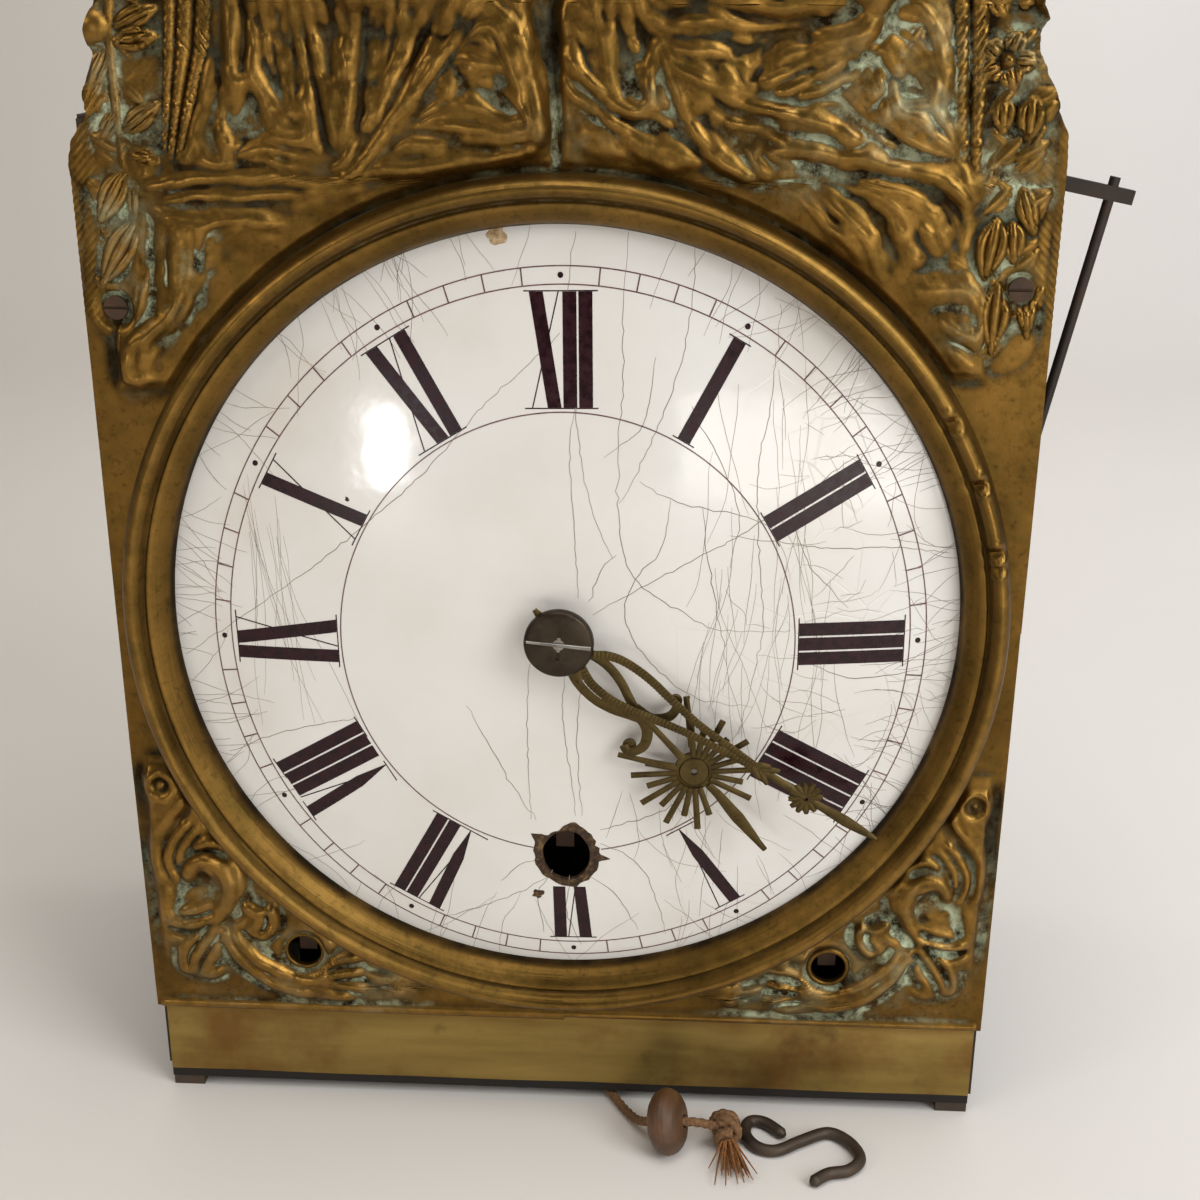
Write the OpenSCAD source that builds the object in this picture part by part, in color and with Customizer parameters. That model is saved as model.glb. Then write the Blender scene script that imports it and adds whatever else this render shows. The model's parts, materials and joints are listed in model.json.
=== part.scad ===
// Comtoise clock: iron cage, pressed brass front, domed enamel dial and three weight-driven trains.
// Millimetres. x = 0 is the dial's arbor, y = 0 the flat face of the front plate, z = 0 the table.

/* [Case] */
// Width of the iron case
case_w = 262; // [258:1:276]
// Depth of the iron case
case_d = 136; // [130:1:150]
// Height of the top plate's underside
case_top = 308; // [304:1:320]
// How far the case stands back from the front plate's face
case_back = 4; // [3.5:0.5:6]
// Height of the feet under the bottom plate
foot_h = 4; // [4:0.5:8]
// Thickness of the top and bottom plates
plate_t = 3; // [2.5:0.5:4]
// Width of the square corner posts
post_w = 10; // [9:0.5:11]
// Thickness of the side, back and apron sheets
sheet_t = 1; // [0.8:0.1:1.2]
// Height of the brass apron
apron_h = 33; // [30:1:38]

/* [Front plate] */
// How far the front plate stands out past the case on each side
front_over = 2; // [1.5:0.5:3]
// Height of the front plate's bottom edge
front_bottom = 34; // [30:1:36]
// Height at which the straight sides end
shoulder_z = 307; // [300:1:315]
// Height of the top of the pressed pediment
front_top = 434; // [425:1:445]
// Thickness of the pressed brass sheet
brass_t = 1; // [0.8:0.1:1.2]
// Height of the highest folds of the relief
relief_h = 13; // [9:0.5:15]
// Radius of the winding holes in the front plate
plate_hole_r = 5.4; // [5:0.1:6]
// Height of the left plate screw
screw_left_z = 261; // [250:1:275]
// Height of the right plate screw
screw_right_z = 269; // [250:1:275]

/* [Dial] */
// Width of plain plate between the ring and the plate's side
ring_margin = 4; // [3:0.5:6]
// Height of plain plate below the ring
ring_foot = 7; // [5:0.5:10]
// How far the dial reaches behind the ring's lip
dial_lap = 5; // [4:0.5:6]
// How far the dial's dome rises
dome_h = 10; // [8:0.5:11]
// Thickness of the enamelled copper dial
dial_t = 1.6; // [1.2:0.1:2]
// Width of the pressed ring round the dial
ring_w = 14; // [12:0.5:14]
// Height of the ring's bead
ring_h = 10.6; // [8:0.2:12]
// Share of the dial's radius from its centre down to its winding hole
square_share = 0.6435; // [0.63:0.0005:0.66]
// Radius of the dial's winding hole
dial_hole_r = 7; // [6:0.5:8]
// Angle of the minute hand, clockwise from twelve
minute_angle = 123.5; // [0:0.5:360]
// Angle of the hour hand, clockwise from twelve
hour_angle = 137.5; // [0:0.5:360]
// Length of the minute hand as a share of the dial's radius
minute_share = 0.965; // [0.94:0.005:0.97]
// Length of the hour hand as a share of the dial's radius
hour_share = 0.783; // [0.72:0.001:0.82]
// Thickness of the hands
hand_t = 1; // [0.8:0.1:1.2]

/* [Trains] */
// Distance of the front bars from the front plate's face
bar_y = 24; // [23:0.5:26]
// Width of the train bars
bar_w = 16; // [14:1:18]
// Thickness of the train bars
bar_t = 4; // [3:0.5:5]
// Thickness of the wheels
wheel_t = 2.5; // [2:0.1:3]
// Height of the strike trains' winding squares above the plate's bottom edge
strike_rise = 22; // [21:0.5:24]
// Radius of the winding arbors
arbor_r = 4; // [3.6:0.1:4.2]
// Width across the flats of the winding squares
square_w = 5.6; // [5:0.1:5.7]
// Radius of the drums
drum_r = 20; // [18:0.5:21]
// Radius of the drums' end caps
cap_r = 25; // [24.5:0.5:26]
// Module of the strike trains' great wheels
strike_m = 1.05; // [1:0.01:1.07]
// Module of the pin wheels
pin_m = 0.95; // [0.9:0.01:0.97]
// Module of the locking wheels
lock_m = 0.8; // [0.76:0.01:0.82]
// Module of the centre wheel
centre_m = 1.2; // [1.15:0.01:1.22]
// Module of the cannon pinion and the minute wheel
motion_m = 0.9; // [0.86:0.01:0.92]
// Radius of the escape wheel
escape_r = 28; // [26:0.5:29]
// Reach of the fly's vanes
fly_r = 24; // [20:0.5:24.5]

/* [Bells] */
// Radius of the bells' mouths
bell_r = 36; // [32:0.5:38]
// Height of the bells
bell_h = 25; // [20:0.5:30]
// Wall of the bells
bell_wall = 2; // [1.6:0.1:3]
// Distance of the bells from the clock's middle
bell_x = 58; // [54:1:60]
// Radius of the hanging hoop
hoop_r = 20; // [16:0.5:22]

/* [Weight cord] */
// Diameter of the weight cord
cord_d = 3; // [2.6:0.1:3.2]
// Radius of the stop button
button_r = 10.3; // [9:0.1:10.5]
// Thickness of the stop button
button_t = 11; // [9:0.5:11.5]
// Diameter of the hook's wire
hook_d = 3.8; // [3.2:0.1:4]

/* [Hidden] */
$fn = 64;

// Fits
running = 0.05;
seat = 0.03;
clear = 0.3;

// Case
half_w = case_w / 2;
rear_y = case_back + case_d;
floor_z = foot_h + plate_t;
lid_z = case_top + plate_t;
rivet_h = 1;
post_x = half_w - post_w / 2;
lug_w = 8;
lug_h = 10;

// Front plate
front_w = case_w + 2 * front_over;
front_half = front_w / 2;
ring_r = front_half - ring_margin;
view_r = ring_r - ring_w;
dial_z = front_bottom + ring_foot + ring_r;
square_drop = square_share * view_r;
minute_len = minute_share * view_r;
hour_len = hour_share * view_r;
strike_z = front_bottom + strike_rise;
screw_r = 1.5;
screw_head_r = 3.3;
screw_head_h = 2;
screw_x = half_w - post_w + 2.4;

// Dial
dial_r = view_r + dial_lap;
dome_r = (dial_r * dial_r + dome_h * dome_h) / (2 * dome_h);
dial_rim_y = 1.5;
dial_apex_y = dial_rim_y - dome_h;
dial_eye_r = 5.5;
strap_t = 0.8;
strap_w = 9;
strap_drop = 60;

// Trains, from front to back
front_in = bar_y + bar_t;
bar_inset = 24;
rear_in = rear_y - bar_inset;
wheel_space = 1.5;
pivot_r = 1.2;
rear_pivot_r = 2;
wheel_bore = arbor_r + seat;
strike_x = half_w - 48;
square_front = case_back + 1;
going_wheel_y = front_in + 4;
ratchet_t = 2.5;
going_ratchet_y = going_wheel_y + wheel_t;
strike_wheel_y = rear_in - 12;
strike_ratchet_y = strike_wheel_y - ratchet_t;
pin_wheel_y = strike_wheel_y - 10;
centre_wheel_y = pin_wheel_y - 2;
escape_y = pin_wheel_y + 6;
lock_wheel_y = front_in + 32;
going_drum_y = going_ratchet_y + ratchet_t + wheel_space;
going_drum_end = centre_wheel_y - 8;
strike_drum_y = front_in + 18;
strike_drum_end = pin_wheel_y - 6;
cap_t = 1.5;

// Tooth counts
going_teeth = 96;
centre_teeth = 80;
strike_teeth = 84;
pin_teeth = 72;
lock_teeth = 64;
leaves = 8;
cannon_teeth = 12;
minute_teeth = 36;
minute_leaves = 10;
hour_teeth = 40;
escape_teeth = 30;
ratchet_teeth = 16;
pin_count = 8;

// Heights of the arbors
going_z = dial_z - square_drop;
going_m = 2 * square_drop / (going_teeth + leaves);
escape_z = dial_z + centre_m * (centre_teeth + leaves) / 2;
anchor_z = escape_z + escape_r * sqrt(2);
motion_d = motion_m * (cannon_teeth + minute_teeth) / 2;
hour_m = 2 * motion_d / (minute_leaves + hour_teeth);
minute_z = dial_z - motion_d;
pin_z = strike_z + strike_m * (strike_teeth + leaves) / 2;
lock_z = pin_z + pin_m * (pin_teeth + leaves) / 2;
fly_z = lock_z + lock_m * (lock_teeth + leaves) / 2;

// Motion work behind the dial
centre_r = 2.2;
cannon_r = 3.2;
hour_pipe_r = 4.4;
cannon_y = bar_y - 9;
cannon_t = 5;
minute_y = cannon_y + 1.5;
minute_t = 2;
hour_wheel_y = cannon_y - 4;
hour_y = dial_apex_y - 3.5;
minute_hand_y = hour_y - 3;
nut_y = minute_hand_y - clear;
nut_edge = 0.8;
nut_r = 10;
nut_t = 3;
stud_r = 2;

// Hammers and bells
hammer_x = strike_x + 20;
hammer_y = rear_in - 4.8;
hammer_r = 2.5;
hammer_arm_r = 2;
pin_ring_r = 29;
lift_pin_r = 1.2;
lift_pin_end = pin_wheel_y + 7;
tail_r = 1.2;
tail_y = pin_wheel_y + 5.6;
tail_z = pin_z + pin_ring_r + lift_pin_r + clear + tail_r;
bell_y = case_back + 62;
bell_z = lid_z + 6;
bell_post_r = 3;
head_r = 6;
head_len = 12;
head_z = bell_z + 8;
head_y = bell_y + bell_r + head_len / 2 + 1.5;

// Repeat lever
lever_x = half_w - 15;
lever_y = bar_y + 4;
lever_z = case_top - 9.6;
lever_slope = -11.4;
lever_t = 3;
lever_w = 4;
lever_len = 42.5;
lever_tail = 14;
lever_pin_r = 2;
rod_r = 1.5;
rod_at = 36.2;
rod_above = 4.5;
rod_below = 86;
rod_neck = 0.9;

// Weight cord: hand-chosen points from the drum, down and under the case, to the knot
winding_r = drum_r + cord_d / 2 + clear;
winding_pitch = cord_d + 0.55;
winding_room = going_drum_end - going_drum_y - 2 * (cap_t + clear) - cord_d;
cord_turns = floor(winding_room / winding_pitch);
cord_lie = cord_d / 2 + 0.1;
cord_y = (going_drum_y + going_drum_end) / 2;
cord_start_z = going_z + 4;
cord_side = winding_r + cord_d + 2 * clear;
button_at = [33.8, -19, 9.6];
button_axis = [0.95, -0.2, 0.22];
knot_at = [52.3, -15.2, 5.2];
knot_r = 5;
fray_at = [55, -35, 2.6];
cord_points = [
    [-cord_side, cord_y, cord_start_z],
    [-cord_side, cord_y, cord_start_z - 20],
    [-cord_side, cord_y, 40],
    [-cord_side, cord_y, 20],
    [-23.5, cord_y - 1, 11],
    [-19.5, cord_y - 5, 4.8],
    [-13, cord_y - 12, cord_lie],
    [-6, 40, cord_lie],
    [2, 28, cord_lie],
    [9, 16, cord_lie],
    [14, 7, cord_lie],
    [19, -2, cord_lie],
    [23.5, -10, 3.2],
    [27, -15.5, 6.6],
    button_at - 3 * button_axis,
    button_at + 3 * button_axis,
    [43.5, -20, 10.4],
    [49.6, -16.8, 6.6]
];
hook_lie = hook_d / 2 + 0.1;
hook_points = [
    [78, -36], [83.5, -31.5], [90, -29.5], [94, -24], [91.5, -16.5], [85, -12], [76, -16.5],
    [68, -21.5], [62, -20], [58.6, -14], [60, -8], [65, -8], [71, -14]
];

// Relief: each swell is [half width, share of the relief's height, the line that it follows]
side_swells = [
    [5, 0.28, [[118, 341], [119, 318], [116, 300]]],
    [5, 0.30, [[116, 296], [122, 270]]],
    [5, 0.28, [[116, 290], [116, 256]]],
    [6, 0.22, [[104, 396], [107, 352], [107, 300]]],
    [9, 0.32, [[112, 357], [96, 378], [78, 398], [50, 412]]],
    [10, 0.30, [[34, 418], [50, 412]]],
    [16, 0.73, [[46, 361], [44, 385]]],
    [8, 0.62, [[60, 380], [70, 358]]],
    [8, 0.62, [[30, 379], [22, 355]]],
    [13, 0.60, [[22, 346], [66, 346]]],
    [12, 0.77, [[42, 402], [43, 402]]],
    [6, 0.68, [[44, 388], [43, 394]]],
    [4, 0.26, [[121, 120], [120, 105], [128, 90]]],
    [5, 0.34, [[101, 82], [110, 92], [118, 84], [114, 75]]],
    [5, 0.36, [[105, 80], [108, 68], [116, 62], [126, 60]]],
    [5, 0.34, [[104, 67], [122, 54], [121, 44], [114, 43]]],
    [8, 0.28, [[97, 66], [96, 48], [82, 41]]],
    [5, 0.28, [[76, 46], [62, 44], [48, 42]]]
];
left_swells = [
    [13, 0.50, [[-81, 352], [-78, 322], [-82, 304]]],
    [7, 0.42, [[-66, 352], [-68, 300]]],
    [6, 0.42, [[-55, 340], [-57, 302]]],
    [7, 0.40, [[-108, 291], [-95, 288], [-68, 294]]],
    [8, 0.54, [[-100, 288], [-105, 265], [-116, 252], [-123, 245]]],
    [9, 0.22, [[-84, 282], [-104, 254]]],
    [9, 0.50, [[-38, 350], [-48, 304]]],
    [17, 0.68, [[-18, 350], [-20, 310]]],
    [5, 0.42, [[-56, 299], [-30, 301], [-8, 308]]]
];
right_swells = [
    [13, 0.58, [[11, 352], [9, 326], [12, 311]]],
    [6, 0.44, [[3, 313], [20, 304], [31, 301]]],
    [14, 0.72, [[32, 328], [35, 327]]],
    [9, 0.58, [[30, 319], [50, 315], [72, 309], [90, 302]]],
    [6, 0.52, [[34, 306], [60, 305], [85, 301], [107, 291]]],
    [9, 0.70, [[68, 328], [74, 331]]],
    [7, 0.62, [[74, 332], [80, 336], [84, 352]]],
    [4, 0.50, [[68, 330], [56, 324]]],
    [10, 0.42, [[84, 328], [94, 316]]],
    [7, 0.56, [[84, 302], [88, 291], [94, 281]]],
    [5, 0.46, [[71, 299], [78, 288], [85, 279]]],
    [5, 0.38, [[98, 268], [111, 268], [113, 254]]]
];
middle_swells = [
    [6, 0.45, [[-24, 391], [-12, 387], [0, 390], [12, 387], [24, 391]]],
    [16, 0.40, [[0, 400], [0, 416]]],
    [5, 0.28, [[-3, 384], [-7, 370], [-4, 354]]],
    [5, 0.28, [[3, 384], [7, 370], [4, 354]]]
];
mirrored_swells = [for (s = side_swells) [s[0], s[1], [for (p = s[2]) [-p[0], p[1]]]]];
swells = concat(side_swells, mirrored_swells, left_swells, right_swells, middle_swells);
flat_round_screw = screw_head_r + 9.5;
flat_round_hole = plate_hole_r + 4;
flat_fade = 5;
flat_spots = [
    [-screw_x, screw_left_z, flat_round_screw], [screw_x, screw_right_z, flat_round_screw],
    [-strike_x, strike_z, flat_round_hole], [strike_x, strike_z, flat_round_hole]
];

// Ring round the dial: share of its width, share of its height
ring_front = [
    [0, 0.10], [0.08, 0.36], [0.26, 0.60], [0.44, 0.70], [0.50, 0.60],
    [0.57, 0.88], [0.73, 1.00], [0.89, 0.85], [0.965, 0.47], [1, 0]
];
ring_back = [
    [0, -0.03], [0.16, 0.27], [0.32, 0.48], [0.45, 0.57], [0.51, 0.48],
    [0.63, 0.76], [0.73, 0.88], [0.83, 0.76], [0.895, 0.43], [0.93, -0.09]
];
field_rows = 18;
row_skip = 2;
row_spread = 1.2;
fine_step = 2;
corner_step = 3;
plain_step = 6;

// Basic functions
function unit(v) = v / norm(v);
function clamp01(t) = max(0, min(1, t));
function polar(r, a) = [r * cos(a), r * sin(a)];
function mix(a, b, t) = a + (b - a) * t;

// Height of one swell at a point: a rounded ridge along its line
function line_reach(p, a, b) =
    let (d = b - a, t = clamp01((p - a) * d / max(d * d, 0.01)))
    norm(p - a - d * t);
function swell_height(s, p) =
    let (line = s[2], q = min([for (i = [0 : len(line) - 2]) line_reach(p, line[i], line[i + 1])]) / s[0])
    q >= 1 ? 0 : s[1] * pow(1 - q * q, 0.7);
layout_r = 129;
layout_z = 170;
layout_k = ring_r / layout_r;
function flatness(x, z) =
    min([for (s = flat_spots) clamp01((norm([x - s[0], z - s[1]]) - s[2]) / flat_fade)]);
function relief(x, z) =
    let (
        p = [x / layout_k, layout_z + (z - dial_z) / layout_k],
        lifts = [for (s = swells) swell_height(s, p)],
        cubes = lifts * [for (l = lifts) l * l]
    )
    flatness(x, z) * relief_h * min(1, pow(cubes, 1 / 3));

// Outline of the front plate as a radius from the dial's centre
shoulder_a = atan2(shoulder_z - dial_z, front_half);
shoulder_r = norm([shoulder_z - dial_z, front_half]);
corner_a = -atan2(dial_z - front_bottom, front_half);
crest_r = front_top - dial_z;
function fold_angle(a) = a > 90 ? 180 - a : a;
function outline_r(a) =
    let (b = fold_angle(a))
    b >= shoulder_a ? mix(shoulder_r, crest_r, sin(90 * (b - shoulder_a) / (90 - shoulder_a))) :
    b >= corner_a ? front_half / cos(b) :
    (dial_z - front_bottom) / sin(-b);
function snap(a, target, reach) = abs(fold_angle(a) - target) < reach ?
    (a > 90 ? 180 - target : target) : a;
corner_start = -69;
corner_end = -15;
fine_start = 36;
right_angles = [
    for (a = [-90 + plain_step : plain_step : corner_start - corner_step]) a,
    for (a = [corner_start : corner_step : corner_end]) snap(a, corner_a, corner_step / 2),
    for (a = [corner_end + plain_step : plain_step : fine_start - corner_step]) a
];
left_angles = [for (i = [len(right_angles) - 1 : -1 : 0]) 180 - right_angles[i]];
plate_angles = concat(
    [-90],
    right_angles,
    [for (a = [fine_start : fine_step : 180 - fine_start]) snap(a, shoulder_a, fine_step / 2)],
    left_angles
);

// Points of the pressed sheet: rows run from the ring's lip out to the plate's edge
function ring_row(share, a) =
    let (p = polar(view_r + ring_w * share[0], a))
    [p[0], -ring_h * share[1], p[1] + dial_z];
function field_at(row, a) =
    let (p = polar(mix(ring_r, outline_r(a), pow(row / field_rows, row_spread)), a))
    [p[0], p[1] + dial_z];
function field_relief(row, a) = let (p = field_at(row, a)) relief(p[0], p[1]);
function field_point(row, a, y) = let (p = field_at(row, a)) [p[0], y, p[1]];

// Closed skin over a grid of points: rows of equal length that wrap round, given as one loop of rows
function loop_faces(rows, count) = [
    for (i = [0 : rows - 1], j = [0 : count - 1])
        let (
            a = i * count + j,
            b = i * count + (j + 1) % count,
            c = ((i + 1) % rows) * count + (j + 1) % count,
            d = ((i + 1) % rows) * count + j
        )
        each [[a, b, c], [a, c, d]]
];

// Smooth curve through hand-chosen points
function curve_point(p, i, t) =
    let (
        a = p[max(i - 1, 0)],
        b = p[i],
        c = p[i + 1],
        d = p[min(i + 2, len(p) - 1)]
    )
    0.5 * (2 * b + (c - a) * t + (2 * a - 5 * b + 4 * c - d) * t * t + (3 * b - 3 * c + d - a) * t * t * t);
function smooth(p, steps) = [
    for (i = [0 : len(p) - 2], k = [0 : steps - 1]) curve_point(p, i, k / steps),
    p[len(p) - 1]
];
function tangent(p, i) = unit(p[min(i + 1, len(p) - 1)] - p[max(i - 1, 0)]);
function square_to(n, t) = unit(n - (n * t) * t);
function normals(p, first) = [
    for (i = 0, n = square_to(first, tangent(p, 0)); i < len(p);
        i = i + 1, n = i < len(p) ? square_to(n, tangent(p, i)) : n) n
];
function tube_points(p, r, sides, first) =
    let (n = normals(p, first))
    [
        for (i = [0 : len(p) - 1], k = [0 : sides - 1])
            p[i] + r * (cos(360 * k / sides) * n[i] + sin(360 * k / sides) * cross(tangent(p, i), n[i]))
    ];
function tube_faces(rings, sides) = concat(
    [
        for (i = [0 : rings - 2], k = [0 : sides - 1])
            let (
                a = i * sides + k,
                b = i * sides + (k + 1) % sides,
                c = (i + 1) * sides + (k + 1) % sides,
                d = (i + 1) * sides + k
            )
            each [[a, c, b], [a, d, c]]
    ],
    [for (k = [1 : sides - 2]) [0, k, k + 1]],
    [for (k = [1 : sides - 2]) let (e = (rings - 1) * sides) [e, e + k + 1, e + k]]
);
module tube(p, r, sides, first = [0, 1, 0]) {
    polyhedron(tube_points(p, r, sides, first), tube_faces(len(p), sides));
}

// A flat outline, drawn as seen from the front, given thickness along y
module upright(x, z, y, t) {
    translate([x, y + t, z]) rotate([90, 0, 0]) linear_extrude(t) children();
}
module rod_y(x, z, y1, y2, r) {
    translate([x, y1, z]) rotate([-90, 0, 0]) cylinder(r = r, h = y2 - y1);
}
module rod_z(x, y, z1, z2, r) {
    translate([x, y, z1]) cylinder(r = r, h = z2 - z1);
}
module block(x1, x2, y1, y2, z1, z2) {
    translate([x1, y1, z1]) cube([x2 - x1, y2 - y1, z2 - z1]);
}

// Toothed outlines: tip and root are shares of the pitch
module teeth(count, m, above, below, tip, root, turn) {
    r = count * m / 2;
    outer = r + above * m;
    inner = r - below * m;
    tip_a = 90 * tip * m / outer * 2;
    root_a = 90 * root * m / inner * 2;
    rotate(turn) polygon([
        for (i = [0 : count - 1], e = [[inner, -root_a], [outer, -tip_a], [outer, tip_a], [inner, root_a]])
            polar(e[0], 360 * i / count + e[1] / 2)
    ]);
}
module wheel_teeth(count, m, turn) {
    teeth(count, m, 0.85, 1.25, 0.16, 0.46, turn);
}
module pinion_teeth(count, m, turn) {
    teeth(count, m, 0.75, 1.2, 0.14, 0.34, turn);
}

// Crossed-out wheel: toothed rim, arms and hub round a bore
module crossed_wheel(count, m, turn, rim, hub, arms, arm_w, bore) {
    inner = count * m / 2 - 1.25 * m - rim;
    difference() {
        union() {
            difference() {
                wheel_teeth(count, m, turn);
                circle(inner);
            }
            circle(hub);
            for (i = [0 : arms - 1])
                rotate(360 * i / arms) translate([hub / 2, -arm_w / 2])
                    square([inner - hub / 2 + rim / 2, arm_w]);
        }
        circle(bore);
    }
}

// Plain arbor between the bars with a pivot at each end
module pivoted_arbor(x, z, r) {
    rod_y(x, z, front_in + clear, rear_in - clear, r);
    rod_y(x, z, bar_y, front_in + clear, pivot_r);
    rod_y(x, z, rear_in - clear, rear_in + bar_t, pivot_r);
}

// Winding arbor with its square at the front
module winding_arbor(x, z) {
    block(x - square_w / 2, x + square_w / 2, square_front, bar_y - 2, z - square_w / 2, z + square_w / 2);
    rod_y(x, z, bar_y - 2, rear_in - clear, arbor_r);
    rod_y(x, z, rear_in - clear, rear_in + bar_t, rear_pivot_r);
}
module drum(x, z, y1, y2) {
    translate([x, y1, z]) rotate([-90, 0, 0]) rotate_extrude() polygon([
        [wheel_bore, 0], [cap_r, 0], [cap_r, cap_t], [drum_r, cap_t],
        [drum_r, y2 - y1 - cap_t], [cap_r, y2 - y1 - cap_t], [cap_r, y2 - y1], [wheel_bore, y2 - y1]
    ]);
}

// Ratchet on the arbor, with its click and click spring on the great wheel
ratchet_r = 14;
ratchet_depth = 2.4;
ratchet_step = 360 / ratchet_teeth;
tooth_lean = 0.06;
click_r = 21;
click_a = -20;
click_eye = 3;
click_gap = 0.6;
spring_t = 0.9;
spring_a = -92;
spring_foot = 2;
module ratchet_set(x, z, y) {
    nose_a = ratchet_step - click_gap;
    low_r = ratchet_r - ratchet_depth;
    upright(x, z, y, ratchet_t) mirror([1, 0]) difference() {
        polygon([
            for (i = [0 : ratchet_teeth - 1], e = [[low_r, 0], [ratchet_r, tooth_lean]])
                polar(e[0], (i + e[1]) * ratchet_step)
        ]);
        circle(wheel_bore);
    }
    upright(x, z, y, ratchet_t) mirror([1, 0]) {
        translate(polar(click_r, click_a)) circle(click_eye);
        polygon([
            polar(low_r + 0.4, nose_a), polar(ratchet_r + 1, ratchet_step / 2),
            polar(click_r - click_eye + 0.4, click_a), polar(click_r + click_eye - 0.6, click_a),
            polar(ratchet_r + 2.4, ratchet_step * 0.7), polar(ratchet_r - 0.2, nose_a)
        ]);
    }
    upright(x, z, y, ratchet_t) mirror([1, 0]) {
        difference() {
            intersection() {
                circle(click_r + click_eye + spring_t + seat);
                polygon([[0, 0], polar(2 * click_r, spring_a), polar(2 * click_r, click_a + 6)]);
            }
            circle(click_r + click_eye + seat);
        }
        translate(polar(click_r + click_eye, spring_a)) circle(spring_foot);
    }
}

// Front plate
module front_plate() {
    count = len(plate_angles);
    lifts = [for (row = [0 : field_rows]) [for (a = plate_angles) row == 0 ? 0 : field_relief(row, a)]];
    front = concat(
        [for (share = ring_front, a = plate_angles) ring_row(share, a)],
        [for (row = [1 : field_rows], j = [0 : count - 1]) field_point(row, plate_angles[j], -lifts[row][j])]
    );
    // The hollow behind has fewer rows, so it keeps to the lowest of the points that it spans
    back = concat(
        [for (row = [field_rows : -row_skip : row_skip], j = [0 : count - 1])
            let (low = min([for (k = [-1 : 1], s = [-1 : 1])
                lifts[min(row + k, field_rows)][(j + s + count) % count]]))
            field_point(row, plate_angles[j], brass_t - low)],
        [for (i = [len(ring_back) - 1 : -1 : 0], a = plate_angles) ring_row(ring_back[i], a)]
    );
    color("darkgoldenrod") difference() {
        polyhedron(concat(front, back), loop_faces(len(front) / count + len(back) / count, count));
        for (s = [-1, 1])
            rod_y(s * strike_x, strike_z, -brass_t, 2 * brass_t, plate_hole_r);
        rod_y(-screw_x, screw_left_z, -brass_t, 2 * brass_t, screw_r + seat);
        rod_y(screw_x, screw_right_z, -brass_t, 2 * brass_t, screw_r + seat);
    }
}
module plate_screws() {
    color("saddlebrown") for (p = [[-screw_x, screw_left_z], [screw_x, screw_right_z]]) difference() {
        union() {
            rod_y(p[0], p[1], -screw_head_h, 0, screw_head_r);
            rod_y(p[0], p[1], -screw_head_h, case_back + post_w / 2, screw_r);
        }
        block(p[0] - screw_head_r, p[0] + screw_head_r, -screw_head_h - 1, -screw_head_h + 0.8,
            p[1] - 0.4, p[1] + 0.4);
    }
}
module apron() {
    color("goldenrod") block(-half_w, half_w, case_back - sheet_t, case_back, floor_z, floor_z + apron_h);
}

// Iron cage
door_x = half_w + 2.4;
door_y = rear_y - 2;
door_pin_r = 1.5;
ear_r = 3.2;
ear_len = 2 * post_w;
ear_reach = 1;
slot_w = 18;
slot_y1 = going_drum_y + 2;
slot_y2 = strike_drum_end - 2;
module cage_plate(z) {
    difference() {
        union() {
            block(-half_w, half_w, case_back - sheet_t, rear_y, z, z + plate_t);
            rod_z(-door_x, door_y, z, z + plate_t, ear_r);
            block(-door_x - ear_r, ear_reach - half_w, door_y - ear_len, door_y, z, z + plate_t);
        }
        for (sx = [-1, 1], y = [case_back, rear_y - post_w])
            block(sx * post_x - post_w / 2, sx * post_x + post_w / 2, y, y + post_w, z - 1, z + plate_t + 1);
        rod_z(-door_x, door_y, z - 1, z + plate_t + 1, door_pin_r + running);
    }
}
module top_plate() {
    color("dimgray") {
        difference() {
            cage_plate(case_top);
            for (s = [-1, 1])
                rod_z(s * hammer_x, hammer_y, case_top - 1, lid_z + 1, hammer_r + running);
        }
        block(lever_x - 5, lever_x + 5, lever_y + lever_t / 2 + clear, lever_y + lever_t / 2 + clear + 3,
            lever_z - 5, case_top);
        rod_y(lever_x, lever_z, lever_y - lever_t / 2 - 1, lever_y + lever_t / 2 + clear, lever_pin_r);
    }
}
module bottom_plate() {
    color("dimgray") difference() {
        cage_plate(foot_h);
        for (x = [-strike_x, 0, strike_x])
            block(x - winding_r - slot_w / 2, x - winding_r + slot_w / 2, slot_y1, slot_y2,
                foot_h - 1, floor_z + 1);
        for (s = [-1, 1])
            rod_z(s * hammer_x, hammer_y, foot_h - 1, floor_z + 1, screw_r + running);
    }
}

// Corner posts: feet below, rivet ends above, tapped holes for the screws
side_screw_z = [40, 280];
back_screw_z = [60, 260];
post_mid_front = case_back + post_w / 2;
post_mid_rear = rear_y - post_w / 2;
module post(sx, front) {
    y = front ? case_back : rear_y - post_w;
    screw_z = sx < 0 ? screw_left_z : screw_right_z;
    difference() {
        union() {
            block(sx * post_x - post_w / 2, sx * post_x + post_w / 2, y, y + post_w, 0, lid_z + rivet_h);
            if (front)
                block(sx * screw_x - lug_w / 2, sx * screw_x + lug_w / 2, brass_t, y + post_w / 2,
                    screw_z - lug_h / 2, screw_z + lug_h / 2);
        }
        if (front)
            rod_y(sx * screw_x, screw_z, 0, case_back + post_w / 2 + 1, screw_r + seat);
        if (sx > 0)
            for (z = side_screw_z)
                translate([half_w - screw_len, y + post_w / 2, z]) rotate([0, 90, 0])
                    cylinder(r = screw_r + seat, h = screw_len + 1);
        if (!front)
            for (z = back_screw_z)
                rod_y(sx * post_x, z, rear_y - screw_len, rear_y + 1, screw_r + seat);
    }
}
module post_front_left() { color("dimgray") post(-1, true); }
module post_front_right() { color("dimgray") post(1, true); }
module post_rear_left() { color("dimgray") post(-1, false); }
module post_rear_right() { color("dimgray") post(1, false); }

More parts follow.
